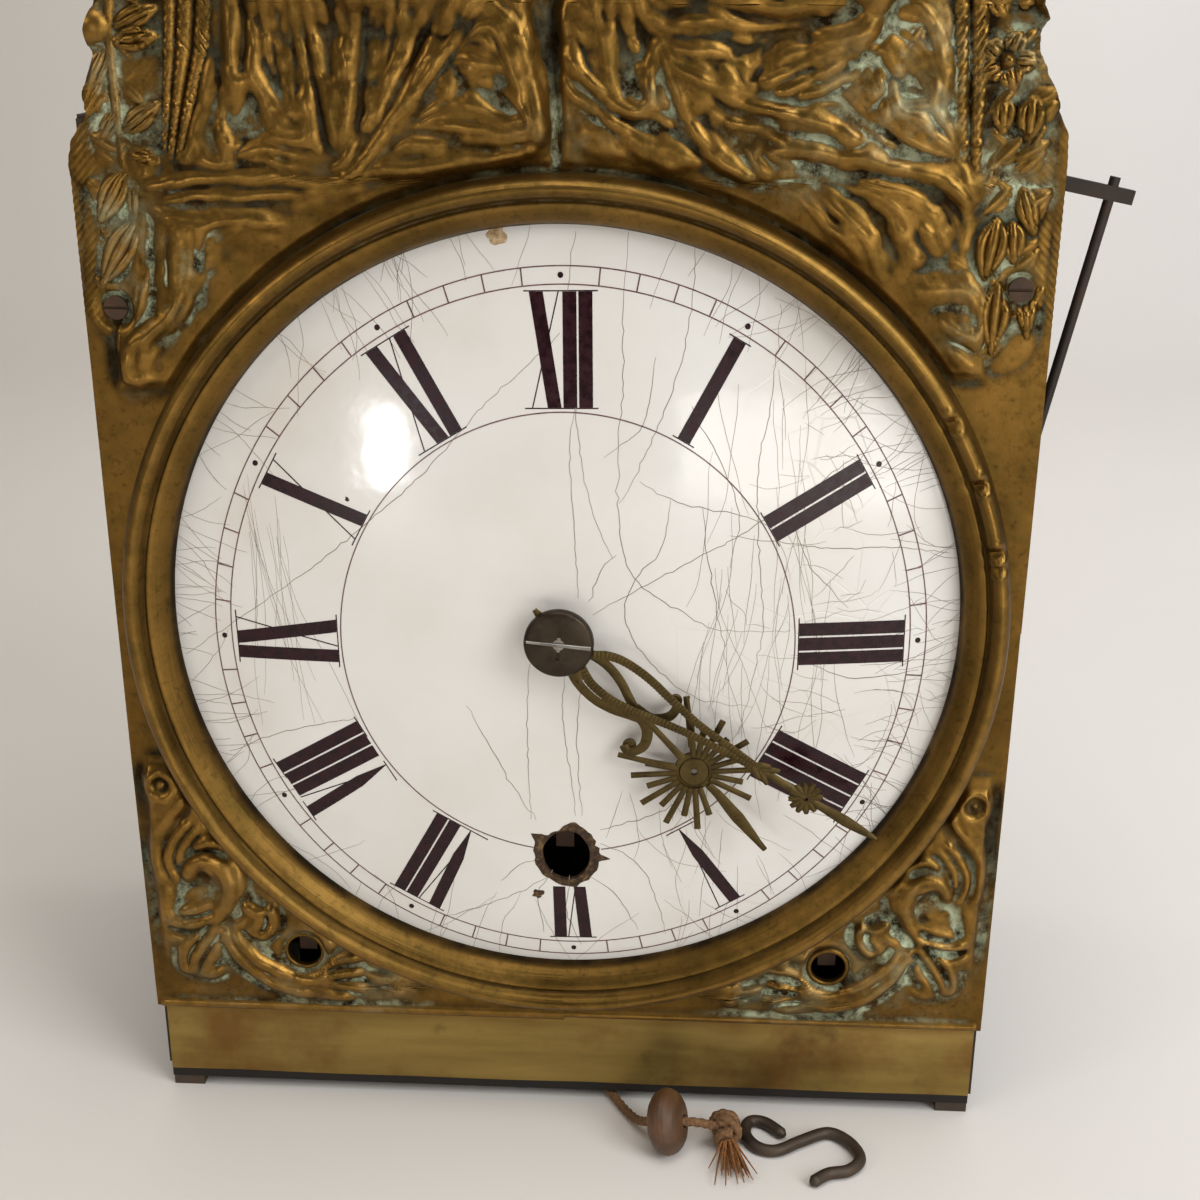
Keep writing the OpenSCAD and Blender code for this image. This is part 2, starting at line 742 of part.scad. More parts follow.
// Hinged left door with a rolled edge, pivot pins and a finger lip
door_gap = 1;
module left_door() {
    low = floor_z + door_gap;
    high = case_top - door_gap;
    leaf = half_w + 0.4;
    color("darkslategray") {
        block(-leaf - sheet_t, -leaf, case_back + door_gap, door_y, low, high);
        rod_z(-door_x, door_y, low, high, door_x - leaf + 0.2);
        rod_z(-door_x, door_y, foot_h + 0.5, lid_z - 0.5, door_pin_r);
        block(-leaf - 6, -leaf, case_back + 12, case_back + 12 + sheet_t, dial_z - 15, dial_z + 15);
    }
}

// Fixed right side with the slot that the repeat lever passes through
lever_slot_y = lever_y - 5;
module right_panel() {
    color("darkslategray") difference() {
        block(half_w, half_w + sheet_t, case_back, rear_y, floor_z, case_top);
        block(half_w - 1, half_w + sheet_t + 1, lever_slot_y, lever_slot_y + 10, lever_z - 12, case_top - 2);
        for (y = [post_mid_front, post_mid_rear], z = side_screw_z)
            translate([half_w - 1, y, z]) rotate([0, 90, 0]) cylinder(r = screw_r + seat, h = sheet_t + 2);
    }
}
module back_plate() {
    color("darkslategray") difference() {
        block(-half_w, half_w, rear_y, rear_y + sheet_t, floor_z, case_top);
        for (sx = [-1, 1], z = back_screw_z)
            rod_y(sx * post_x, z, rear_y - 1, rear_y + sheet_t + 1, screw_r + seat);
    }
}
screw_len = 6;
case_head_r = 3;
case_head_h = 1.6;
module case_screw() {
    difference() {
        union() {
            translate([0, 0, -screw_len]) cylinder(r = screw_r, h = screw_len + case_head_h);
            cylinder(r = case_head_r, h = case_head_h);
        }
        translate([-case_head_r, -0.4, case_head_h - 0.7]) cube([2 * case_head_r, 0.8, 1]);
    }
}
module case_screws() {
    color("dimgray") {
        for (y = [post_mid_front, post_mid_rear], z = side_screw_z)
            translate([half_w + sheet_t, y, z]) rotate([0, 90, 0]) case_screw();
        for (sx = [-1, 1], z = back_screw_z)
            translate([sx * post_x, rear_y + sheet_t, z]) rotate([-90, 0, 0]) case_screw();
    }
}

// Hanging hoop riveted on the top plate
hoop_wire = 3;
hoop_leg = 12;
hoop_y = rear_y - 8;
module hanging_hoop() {
    color("dimgray") {
        translate([0, hoop_y, lid_z + hoop_leg]) rotate([90, 0, 0])
            rotate_extrude(angle = 180) translate([hoop_r, 0]) circle(hoop_wire);
        for (s = [-1, 1]) {
            rod_z(s * hoop_r, hoop_y, lid_z, lid_z + hoop_leg, hoop_wire);
            rod_z(s * hoop_r, hoop_y, lid_z, lid_z + 2, hoop_wire + 2);
        }
    }
}

// Domed enamel dial
dome_steps = 12;
function dome_y(r) = dial_apex_y + dome_r - sqrt(dome_r * dome_r - r * r);
module dial() {
    rim = [for (i = [0 : dome_steps]) mix(dial_eye_r, dial_r, i / dome_steps)];
    color("ivory") difference() {
        translate([0, 0, dial_z]) rotate([-90, 0, 0]) rotate_extrude($fn = 120) polygon(concat(
            [for (r = rim) [r, dome_y(r)]],
            [for (i = [dome_steps : -1 : 0]) [rim[i], dome_y(rim[i]) + dial_t]]
        ));
        rod_y(0, going_z, dial_apex_y - 1, dial_rim_y + dial_t + 1, dial_hole_r);
    }
}
module dial_straps() {
    color("dimgray") for (s = [-1, 1]) block(-half_w, half_w, case_back - strap_t, case_back,
        dial_z + s * strap_drop - strap_w / 2, dial_z + s * strap_drop + strap_w / 2);
}

// Hands, drawn pointing up and turned to their hours
strand_w = 2.2;
strand_steps = 10;
module strand(from, to, bow, lean) {
    length = to - from;
    mid = [for (i = [0 : strand_steps]) let (t = i / strand_steps)
        [bow * sin(180 * pow(t, lean)), from + length * t]];
    polygon(concat(
        [for (p = mid) p - [strand_w / 2, 0]],
        [for (i = [strand_steps : -1 : 0]) mid[i] + [strand_w / 2, 0]]
    ));
}
module leaf(from, to, half) {
    polygon(concat(
        [for (i = [0 : 8]) let (t = i / 8) [half * sin(180 * pow(t, 0.6)) + 0.3 * (1 - t), mix(from, to, t)]],
        [for (i = [8 : -1 : 0]) let (t = i / 8)
            [-half * sin(180 * pow(t, 0.6)) - 0.3 * (1 - t), mix(from, to, t)]]
    ));
}
module curl(r, from, sweep, w) {
    difference() {
        intersection() {
            circle(r + w / 2);
            polygon(concat([[0, 0]], [for (i = [0 : 8]) polar(2 * r, from + sweep * i / 8)]));
        }
        circle(r - w / 2);
    }
    translate(polar(r, from + sweep)) circle(w * 1.1);
}
flower_at = 87;
flower_r = 5;
petals = 10;
minute_hub = 8.5;
module minute_hand() {
    color("darkkhaki") upright(0, dial_z, minute_hand_y, hand_t) rotate(-minute_angle) difference() {
        union() {
            circle(minute_hub);
            strand(minute_hub - 1.5, 62, 5.4, 0.62);
            strand(minute_hub - 1.7, 62.4, -5.6, 0.62);
            translate([-1, 58]) square([2, flower_at - 58]);
            translate([0, 68]) rotate(45) square(4, center = true);
            translate([0, flower_at]) {
                circle(flower_r * 0.62);
                for (i = [0 : petals - 1])
                    rotate(360 * i / petals) translate([-0.7, 0]) square([1.4, flower_r]);
            }
            leaf(flower_at + 2, minute_len, 1.8);
            rotate(-152) translate([-1.5, minute_hub - 1]) polygon([[0, 0], [3, 0], [1.5, 4.5]]);
        }
        circle(cannon_r + seat);
        translate([0, flower_at]) circle(0.8);
    }
}
sun_at = 57;
sun_r = 7;
ray_short = 13;
ray_long = 17;
rays = 24;
ray_w = 1.2;
hour_hub = 8;
module hour_hand() {
    color("darkkhaki") upright(0, dial_z, hour_y, hand_t) rotate(-hour_angle) difference() {
        union() {
            circle(hour_hub);
            strand(hour_hub - 1.5, 34, 5.6, 0.9);
            strand(hour_hub - 1.7, 34.3, -5.6, 0.9);
            translate([-1.2, 32]) square([2.4, sun_at - 32]);
            for (s = [-1, 1])
                translate([s * 6, 33]) rotate(s > 0 ? 180 : 0) curl(5, 0, s > 0 ? -200 : 200, 2);
            translate([0, sun_at]) {
                circle(sun_r);
                for (i = [2 : rays - 2])
                    rotate(360 * i / rays) translate([-ray_w / 2, sun_r - 1])
                        square([ray_w, (i % 2 == 0 ? ray_long : ray_short) - sun_r + 1]);
            }
            leaf(sun_at + sun_r - 1, hour_len, 3);
        }
        circle(hour_pipe_r + seat);
        translate([0, sun_at]) circle(0.9);
    }
}
module hand_nut() {
    color("darkslategray") difference() {
        translate([0, nut_y, dial_z]) rotate([90, 0, 0]) rotate_extrude() polygon([
            [centre_r + seat, 0], [nut_r, 0], [nut_r, nut_t - nut_edge], [nut_r - nut_edge, nut_t],
            [centre_r + seat, nut_t]
        ]);
        for (a = [0, 90])
            translate([0, nut_y - nut_t, dial_z]) rotate([0, a, 0])
                cube([2 * nut_r + 1, 1.4, 0.9], center = true);
    }
}

// Train bars with the bearings of each train
module bar_pair(x) {
    for (y = [bar_y, rear_in])
        block(x - bar_w / 2, x + bar_w / 2, y, y + bar_t, floor_z, case_top);
}
module bearing(x, z, y, r) {
    rod_y(x, z, y - 1, y + bar_t + 1, r + running);
}
module strike_bars(s) {
    x = s * strike_x;
    color("slategray") difference() {
        bar_pair(x);
        bearing(x, strike_z, bar_y, arbor_r);
        bearing(x, strike_z, rear_in, rear_pivot_r);
        for (z = [pin_z, lock_z, fly_z], y = [bar_y, rear_in])
            bearing(x, z, y, pivot_r);
    }
}
module left_bars() { strike_bars(-1); }
module right_bars() { strike_bars(1); }
stud_front = bar_y - 17;
module centre_bars() {
    color("slategray") {
        difference() {
            bar_pair(0);
            bearing(0, going_z, bar_y, arbor_r);
            bearing(0, going_z, rear_in, rear_pivot_r);
            bearing(0, dial_z, bar_y, centre_r);
            bearing(0, dial_z, rear_in, pivot_r);
            for (y = [bar_y, rear_in])
                bearing(0, escape_z, y, pivot_r);
            bearing(0, anchor_z, bar_y, anchor_r);
            bearing(0, anchor_z, rear_in, pivot_r);
        }
        rod_y(0, minute_z, stud_front, bar_y, stud_r);
    }
}

// Going train
great_hub = 27;
great_rim = 4;
great_arms = 6;
great_arm_w = 6;
strike_arms = 5;
module going_arbor() { color("silver") winding_arbor(0, going_z); }
module going_drum() { color("goldenrod") drum(0, going_z, going_drum_y, going_drum_end); }
module going_great_wheel() {
    color("gold") upright(0, going_z, going_wheel_y, wheel_t)
        crossed_wheel(going_teeth, going_m, 90, great_rim, great_hub, great_arms, great_arm_w, wheel_bore);
}
module going_ratchet() { color("silver") ratchet_set(0, going_z, going_ratchet_y); }

// Cord wound on the going drum, one unbroken helix with straight ends
winding_rings = 24;
winding_start = (going_drum_y + going_drum_end - cord_turns * winding_pitch) / 2;
function winding_point(a) =
    [winding_r * cos(a), winding_start + winding_pitch * a / 360, going_z + winding_r * sin(a)];
winding_end = 360 * cord_turns;
winding_path = concat(
    [winding_point(0) + cord_d * [0, 0, -1]],
    [for (a = [0 : 360 / winding_rings : winding_end]) winding_point(a)],
    [winding_point(winding_end) + cord_d * [0, 0, 1]]
);
winding_least_gap = min([
    for (i = [1 : winding_rings])
        norm(winding_path[i] - winding_path[i + winding_rings]) - cord_d
]);
module cord_winding() {
    echo(winding_least_gap = winding_least_gap);
    color("peru") tube(winding_path, cord_d / 2, 6, [1, 0, 0]);
}
pinion_len = 6;
centre_rim = 3.5;
centre_hub = 9;
centre_arm = 5;
motion_rim = 2.5;
motion_arm = 3;
minute_hub_r = 5.5;
hour_hub_r = 7;
module centre_arbor() {
    front = nut_y - nut_t + 0.4;
    color("silver") {
        rod_y(0, dial_z, front, rear_in - clear, centre_r);
        rod_y(0, dial_z, rear_in - clear, rear_in + bar_t, pivot_r);
        upright(0, dial_z, going_wheel_y - wheel_space, pinion_len)
            pinion_teeth(leaves, going_m, -90 + 180 / leaves);
    }
}
module centre_wheel() {
    color("gold") upright(0, dial_z, centre_wheel_y, wheel_t)
        crossed_wheel(centre_teeth, centre_m, 90, centre_rim, centre_hub, 5, centre_arm, centre_r + seat);
}
module cannon_pinion() {
    color("silver") difference() {
        union() {
            upright(0, dial_z, cannon_y, cannon_t) pinion_teeth(cannon_teeth, motion_m, -90);
            rod_y(0, dial_z, minute_hand_y - 0.1, cannon_y + 1, cannon_r);
        }
        rod_y(0, dial_z, minute_hand_y - 1, cannon_y + cannon_t + 1, centre_r + seat);
    }
}
module minute_wheel() {
    pinion_y = hour_wheel_y - 1.5;
    color("gold") difference() {
        union() {
            upright(0, minute_z, minute_y, minute_t)
                crossed_wheel(minute_teeth, motion_m, 90 + 180 / minute_teeth, motion_rim, minute_hub_r,
                    4, motion_arm, stud_r + running);
            upright(0, minute_z, pinion_y, minute_y - pinion_y + 0.5)
                pinion_teeth(minute_leaves, hour_m, 90);
        }
        rod_y(0, minute_z, pinion_y - 1, minute_y + minute_t + 1, stud_r + running);
    }
}
module hour_wheel() {
    color("gold") difference() {
        union() {
            upright(0, dial_z, hour_wheel_y, minute_t)
                crossed_wheel(hour_teeth, hour_m, -90 + 180 / hour_teeth, motion_rim, hour_hub_r,
                    4, motion_arm, cannon_r + running);
            rod_y(0, dial_z, hour_y - 0.2, hour_wheel_y + minute_t, hour_pipe_r);
        }
        rod_y(0, dial_z, hour_y - 1, hour_wheel_y + minute_t + 1, cannon_r + running);
    }
}

// Escapement
escape_t = 2;
escape_depth = 5;
escape_rim = 3;
escape_hub = 6;
escape_arm = 3.6;
escape_arbor_r = 1.8;
anchor_r = 1.6;
anchor_t = 4;
pallet_w = 0.8;
anchor_hub = 5;
anchor_arm = 3.2;
module escape_wheel() {
    step = 360 / escape_teeth;
    rim_r = escape_r - escape_depth;
    color("gold") {
        upright(0, escape_z, escape_y, escape_t) {
            difference() {
                polygon([
                    for (i = [0 : escape_teeth - 1],
                        e = [[rim_r, -0.28], [escape_r, -0.03], [escape_r, 0.03], [rim_r, 0.22]])
                        polar(e[0], (i + e[1]) * step)
                ]);
                circle(rim_r - escape_rim);
            }
            circle(escape_hub);
            for (i = [0 : 3])
                rotate(90 * i) translate([0, -escape_arm / 2]) square([rim_r - 1, escape_arm]);
        }
        pivoted_arbor(0, escape_z, escape_arbor_r);
        upright(0, escape_z, centre_wheel_y - 2, pinion_len + 1)
            pinion_teeth(leaves, centre_m, -90 + 180 / leaves);
    }
}
module anchor() {
    reach = escape_r + 6;
    span = 90;
    color("silver") {
        upright(0, escape_z, escape_y - 1, anchor_t) {
            translate([0, anchor_z - escape_z]) circle(anchor_hub);
            for (s = [-1, 1]) {
                knee = polar(reach, 90 - s * span / 2);
                top = [0, anchor_z - escape_z];
                side = anchor_arm / 2 * unit([top[1] - knee[1], knee[0]]);
                polygon([top + side, knee + side, knee - side, top - side]);
                rotate(90 - s * span / 2) translate([escape_r + clear, -pallet_w / 2])
                    square([reach - escape_r, pallet_w]);
            }
        }
        rod_y(0, anchor_z, crutch_y, rear_in - clear, anchor_r);
        rod_y(0, anchor_z, rear_in - clear, rear_in + bar_t, pivot_r);
    }
}
crutch_y = bar_y - 8;
crutch_t = 3;
crutch_len = 58;
crutch_w = 4;
crutch_hub = 4.5;
fork_w = 9;
fork_h = 5;
fork_len = 6;
prong_w = 2.4;
module crutch() {
    fork_z = anchor_z - crutch_len;
    prong_x = (fork_w - prong_w) / 2;
    color("dimgray") {
        upright(0, anchor_z, crutch_y, crutch_t) difference() {
            union() {
                circle(crutch_hub);
                translate([-crutch_w / 2, -crutch_len]) square([crutch_w, crutch_len]);
                translate([-fork_w / 2, -crutch_len - fork_h / 2]) square([fork_w, fork_h]);
            }
            circle(anchor_r + seat);
        }
        for (s = [-1, 1])
            block(s * prong_x - prong_w / 2, s * prong_x + prong_w / 2, crutch_y - fork_len, crutch_y + 1,
                fork_z - fork_h / 2, fork_z + fork_h / 2);
    }
}
cock_w = 14;
cock_h = 14;
module suspension_cock() {
    color("goldenrod") difference() {
        block(-cock_w / 2, cock_w / 2, crutch_y - 7, crutch_y + 3, case_top - cock_h, case_top);
        block(-0.3, 0.3, crutch_y - 8, crutch_y + 4, case_top - cock_h - 1, case_top - 5);
    }
}

// Strike trains
small_hub = 6.5;
small_arm = 3.8;
pin_rim = 5.5;
pin_arbor_r = 2;
lock_rim = 3;
lock_t = 2;
lock_arbor_r = 1.8;
lock_pin_at = 18;
lock_pin_len = 5;
lock_pin_r = 1;
fly_arbor_r = 1.5;
vane_gap = 6;
vane_w = 20;
vane_t = 0.8;
vane_hub = 2.4;
module strike_great_wheel(s) {
    color("gold") upright(s * strike_x, strike_z, strike_wheel_y, wheel_t)
        crossed_wheel(strike_teeth, strike_m, 90, great_rim, great_hub, strike_arms, great_arm_w, wheel_bore);
}
module pin_wheel(s) {
    x = s * strike_x;
    color("gold") {
        upright(x, pin_z, pin_wheel_y, wheel_t)
            crossed_wheel(pin_teeth, pin_m, 90, pin_rim, small_hub, 4, small_arm, 1);
        for (i = [0 : pin_count - 1]) {
            p = polar(pin_ring_r, 360 * (i + 0.5) / pin_count);
            rod_y(x + p[0], pin_z + p[1], pin_wheel_y + 1, lift_pin_end, lift_pin_r);
        }
        pivoted_arbor(x, pin_z, pin_arbor_r);
        upright(x, pin_z, strike_wheel_y - wheel_space, pinion_len)
            pinion_teeth(leaves, strike_m, -90 + 180 / leaves);
    }
}
module locking_wheel(s) {
    x = s * strike_x;
    color("gold") {
        upright(x, lock_z, lock_wheel_y, lock_t)
            crossed_wheel(lock_teeth, lock_m, 90, lock_rim, small_hub, 4, small_arm, 1);
        rod_y(x + lock_pin_at, lock_z, lock_wheel_y - lock_pin_len, lock_wheel_y + 1, lock_pin_r);
        upright(x, lock_z, lock_wheel_y, lock_t) translate([lock_pin_at, 0]) circle(small_arm);
        pivoted_arbor(x, lock_z, lock_arbor_r);
        upright(x, lock_z, pin_wheel_y - wheel_t, pinion_len - 0.5)
            pinion_teeth(leaves, pin_m, -90 + 180 / leaves);
    }
}
module fly(s) {
    x = s * strike_x;
    vane_y = front_in + vane_gap;
    color("khaki") {
        block(x - fly_r, x + fly_r, vane_y, vane_y + vane_w, fly_z - vane_t / 2, fly_z + vane_t / 2);
        rod_y(x, fly_z, vane_y, vane_y + vane_w, vane_hub);
        pivoted_arbor(x, fly_z, fly_arbor_r);
        upright(x, fly_z, lock_wheel_y - 2, pinion_len) pinion_teeth(leaves, lock_m, -90 + 180 / leaves);
    }
}

// Hammer: upright arbor with a tail at the lifting pins and a head behind the bell
module hammer(s) {
    x = s * hammer_x;
    tail = [s * (strike_x + 1), tail_y, tail_z] - [x, hammer_y, tail_z];
    head = [s * bell_x, head_y, head_z] - [x, hammer_y, head_z];
    color("dimgray") {
        rod_z(x, hammer_y, floor_z + clear, head_z + 4, hammer_r);
        rod_z(x, hammer_y, foot_h + 0.5, floor_z + clear, screw_r);
        translate([x, hammer_y, tail_z]) rotate([0, 90, atan2(tail[1], tail[0])])
            cylinder(r = tail_r, h = norm(tail));
        translate([x, hammer_y, head_z]) rotate([0, 90, atan2(head[1], head[0])])
            cylinder(r = hammer_arm_r, h = norm(head));
        rod_y(s * bell_x, head_z, head_y - head_len / 2, head_y + head_len / 2, head_r);
    }
}
module left_arbor() { color("silver") winding_arbor(-strike_x, strike_z); }
module right_arbor() { color("silver") winding_arbor(strike_x, strike_z); }
module left_drum() { color("goldenrod") drum(-strike_x, strike_z, strike_drum_y, strike_drum_end); }
module right_drum() { color("goldenrod") drum(strike_x, strike_z, strike_drum_y, strike_drum_end); }
module left_great_wheel() { strike_great_wheel(-1); }
module right_great_wheel() { strike_great_wheel(1); }
module left_ratchet() { color("silver") ratchet_set(-strike_x, strike_z, strike_ratchet_y); }
module right_ratchet() { color("silver") ratchet_set(strike_x, strike_z, strike_ratchet_y); }
module left_pin_wheel() { pin_wheel(-1); }
module right_pin_wheel() { pin_wheel(1); }
module left_locking_wheel() { locking_wheel(-1); }
module right_locking_wheel() { locking_wheel(1); }
module left_fly() { fly(-1); }
module right_fly() { fly(1); }
module left_hammer() { hammer(-1); }
module right_hammer() { hammer(1); }

// Bells on their posts
bell_steps = 9;
bell_crown = 86;
bell_lip = 1.5;
module bell(s) {
    outer = [for (i = [0 : bell_steps]) let (t = bell_crown * i / bell_steps)
        [bell_r * cos(t), bell_h * sin(t)]];
    inner = [for (i = [bell_steps : -1 : 0]) let (t = bell_crown * i / bell_steps)
        [(bell_r - bell_wall) * cos(t), (bell_h - bell_wall) * sin(t)]];
    color("goldenrod") translate([s * bell_x, bell_y, bell_z]) difference() {
        rotate_extrude($fn = 96) polygon(concat(
            [[0, bell_h - bell_wall], [0, bell_h]],
            [for (i = [bell_steps : -1 : 0]) outer[i]],
            [[bell_r + bell_lip, -bell_lip], [bell_r - bell_wall, -bell_lip]],
            [for (i = [bell_steps : -1 : 0]) inner[i]]
        ));
        translate([0, 0, bell_h - bell_wall - 1]) cylinder(r = bell_post_r + seat, h = bell_wall + 2);
    }
}
module left_bell() { bell(-1); }
module right_bell() { bell(1); }
post_flange_r = 3 * bell_post_r;
post_flange_t = plate_t;
post_collar_r = 1.5 * bell_post_r;
post_nut_r = 2 * bell_post_r;
post_nut_t = 4;
post_end = 2;
module bell_posts() {
    top = bell_z + bell_h;
    color("dimgray") for (s = [-1, 1]) {
        rod_z(s * bell_x, bell_y, lid_z, lid_z + post_flange_t, post_flange_r);
        rod_z(s * bell_x, bell_y, lid_z, top - bell_wall - clear, post_collar_r);
        rod_z(s * bell_x, bell_y, lid_z, top + post_nut_t + post_end, bell_post_r);
        rod_z(s * bell_x, bell_y, top + seat, top + post_nut_t, post_nut_r);
    }
}

// Strike-repeat lever: a flat arm on a pin below the top plate, with a rod riveted through it
lever_eye = 5;
module on_lever() {
    translate([lever_x, lever_y, lever_z]) rotate([0, -lever_slope, 0]) children();
}
module repeat_lever() {
    color("black") difference() {
        upright(lever_x, lever_z, lever_y - lever_t / 2, lever_t) rotate(lever_slope) difference() {
            union() {
                circle(lever_eye);
                translate([-lever_tail, -lever_w / 2]) square([lever_len + lever_tail, lever_w]);
            }
            circle(lever_pin_r + running);
        }
        on_lever() rod_z(rod_at, 0, -lever_w, lever_w, rod_neck + seat);
    }
}
module repeat_rod() {
    color("black") on_lever() {
        rod_z(rod_at, 0, -rod_below, -lever_w / 2 - seat, rod_r);
        rod_z(rod_at, 0, -rod_below, lever_w / 2 + 1, rod_neck);
        rod_z(rod_at, 0, lever_w / 2 + seat, rod_above, rod_r);
    }
}

// Free end of the weight cord with its stop button and hook
module weight_cord() {
    path = smooth(cord_points, 4);
    color("peru") {
        tube(path, cord_d / 2, 8, [0, 1, 0]);
        translate(knot_at) sphere(knot_r);
        tilt = fray_at - knot_at;
        translate(knot_at) rotate([0, acos(tilt[2] / norm(tilt)), atan2(tilt[1], tilt[0])])
            cylinder(r1 = 0.7 * knot_r, r2 = 0.5 * knot_r, h = norm(tilt));
    }
}
module stop_button() {
    a = unit(button_axis);
    color("saddlebrown") translate(button_at) rotate([0, acos(a[2]), atan2(a[1], a[0])]) difference() {
        rotate_extrude() polygon(concat(
            [[0, -button_t / 2]],
            [for (i = [0 : 12]) let (t = -90 + 15 * i)
                [button_r * 0.3 + button_r * 0.7 * cos(t), button_t / 2 * sin(t)]],
            [[0, button_t / 2]]
        ));
        cylinder(r = cord_d / 2 + 0.6, h = 2 * button_t, center = true);
    }
}
module weight_hook() {
    path = smooth([for (p = hook_points) [p[0], p[1], hook_lie]], 4);
    color("dimgray") tube(path, hook_d / 2, 8, [0, 0, 1]);
}

front_plate();
plate_screws();
apron();
top_plate();
bottom_plate();
post_front_left();
post_front_right();
post_rear_left();
post_rear_right();
left_door();
right_panel();
back_plate();
case_screws();
hanging_hoop();
dial();
dial_straps();
hour_hand();
minute_hand();
hand_nut();
left_bars();
centre_bars();
right_bars();
going_arbor();
going_drum();
going_great_wheel();
going_ratchet();
cord_winding();
centre_arbor();
centre_wheel();
cannon_pinion();
minute_wheel();
hour_wheel();
escape_wheel();
anchor();
crutch();
suspension_cock();
left_arbor();
left_drum();
left_great_wheel();
left_ratchet();
left_pin_wheel();
left_locking_wheel();
left_fly();
left_hammer();
right_arbor();
right_drum();
right_great_wheel();
right_ratchet();
right_pin_wheel();
right_locking_wheel();
right_fly();
right_hammer();
left_bell();
right_bell();
bell_posts();
repeat_lever();
repeat_rod();
weight_cord();
stop_button();
weight_hook();
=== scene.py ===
import json
import math

import bpy
import numpy as np
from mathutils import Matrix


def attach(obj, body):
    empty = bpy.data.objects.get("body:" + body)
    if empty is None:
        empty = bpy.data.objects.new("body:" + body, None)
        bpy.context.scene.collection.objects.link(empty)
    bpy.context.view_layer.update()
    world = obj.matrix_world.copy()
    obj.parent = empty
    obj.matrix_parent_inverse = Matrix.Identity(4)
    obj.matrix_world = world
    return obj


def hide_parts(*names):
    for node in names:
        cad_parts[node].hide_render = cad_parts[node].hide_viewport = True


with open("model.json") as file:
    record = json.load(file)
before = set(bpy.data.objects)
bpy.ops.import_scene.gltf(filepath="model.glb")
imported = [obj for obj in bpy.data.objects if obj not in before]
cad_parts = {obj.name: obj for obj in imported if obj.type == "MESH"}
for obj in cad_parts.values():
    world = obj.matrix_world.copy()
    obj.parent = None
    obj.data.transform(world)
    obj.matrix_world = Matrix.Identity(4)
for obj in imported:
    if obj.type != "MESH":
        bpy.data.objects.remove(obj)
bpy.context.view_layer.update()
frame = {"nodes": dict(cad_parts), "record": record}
scene = bpy.context.scene
cadNodes = frame["nodes"]
mm = 0.001
print("frame loaded:", len(cadNodes), "nodes")

# camera, where the photographer stood
cameraSet = {"place": (0.0342, -0.4528, 0.3463), "turn": (69.554, -0.212, 3.035), "lens": 49.874,
             "sensor": 36.0}
bpy.ops.object.camera_add(
    location=cameraSet["place"], rotation=[math.radians(angle) for angle in cameraSet["turn"]])
camera = bpy.context.object
camera.name = "camera"
camera.data.lens = cameraSet["lens"]
camera.data.sensor_width = cameraSet["sensor"]
camera.data.clip_start = 0.01
scene.camera = camera
print("camera set")


# small helpers for modelling
def deselectAll():
    bpy.ops.object.select_all(action="DESELECT")


def pick(obj):
    deselectAll()
    obj.select_set(True)
    bpy.context.view_layer.objects.active = obj


def readPoints(obj):
    flat = np.empty(len(obj.data.vertices) * 3)
    obj.data.vertices.foreach_get("co", flat)
    return flat.reshape(-1, 3)


def writePoints(obj, points):
    obj.data.vertices.foreach_set("co", np.ascontiguousarray(points, dtype=float).ravel())
    obj.data.update()


def inMetres(x, y, z):
    return mm * np.stack([x, y, z], axis=1)


def gridPatch(name, columns, rows, place):
    # a grid primitive whose points go where place(u, v) says, in metres
    deselectAll()
    bpy.ops.mesh.primitive_grid_add(x_subdivisions=columns, y_subdivisions=rows, size=2)
    obj = bpy.context.object
    obj.name = name
    uv = readPoints(obj)[:, :2] * 0.5 + 0.5
    writePoints(obj, place(uv[:, 0], uv[:, 1]))
    return obj


def applyModifier(obj, kind, **settings):
    pick(obj)
    modifier = obj.modifiers.new(kind.lower(), kind)
    for key, value in settings.items():
        setattr(modifier, key, value)
    bpy.ops.object.modifier_apply(modifier=modifier.name)


def smoothShade(obj, angle=40):
    pick(obj)
    bpy.ops.object.shade_smooth_by_angle(angle=math.radians(angle))


def weld(obj, distance=1e-6, fillEnds=False):
    pick(obj)
    bpy.ops.object.mode_set(mode="EDIT")
    bpy.ops.mesh.select_all(action="SELECT")
    bpy.ops.mesh.remove_doubles(threshold=distance)
    if fillEnds:
        bpy.ops.mesh.fill_holes(sides=0)
    bpy.ops.mesh.select_all(action="SELECT")
    bpy.ops.mesh.normals_make_consistent(inside=False)
    bpy.ops.object.mode_set(mode="OBJECT")


def joinAll(pieces, name):
    deselectAll()
    for piece in pieces:
        piece.select_set(True)
    bpy.context.view_layer.objects.active = pieces[0]
    bpy.ops.object.join()
    pieces[0].name = name
    return pieces[0]


def deleteFaces(obj, chosen):
    pick(obj)
    obj.data.polygons.foreach_set("select", np.asarray(chosen, dtype=bool))
    bpy.ops.object.mode_set(mode="EDIT")
    bpy.ops.mesh.select_mode(type="FACE")
    bpy.ops.object.mode_set(mode="OBJECT")
    obj.data.polygons.foreach_set("select", np.asarray(chosen, dtype=bool))
    bpy.ops.object.mode_set(mode="EDIT")
    bpy.ops.mesh.delete(type="FACE")
    bpy.ops.mesh.select_mode(type="VERT")
    bpy.ops.object.mode_set(mode="OBJECT")


def faceCentres(obj):
    flat = np.empty(len(obj.data.polygons) * 3)
    obj.data.polygons.foreach_get("center", flat)
    return flat.reshape(-1, 3)


def paintAttribute(obj, name, values):
    layer = obj.data.attributes.new(name, "FLOAT", "POINT")
    layer.data.foreach_set("value", np.ascontiguousarray(values, dtype=np.float32))


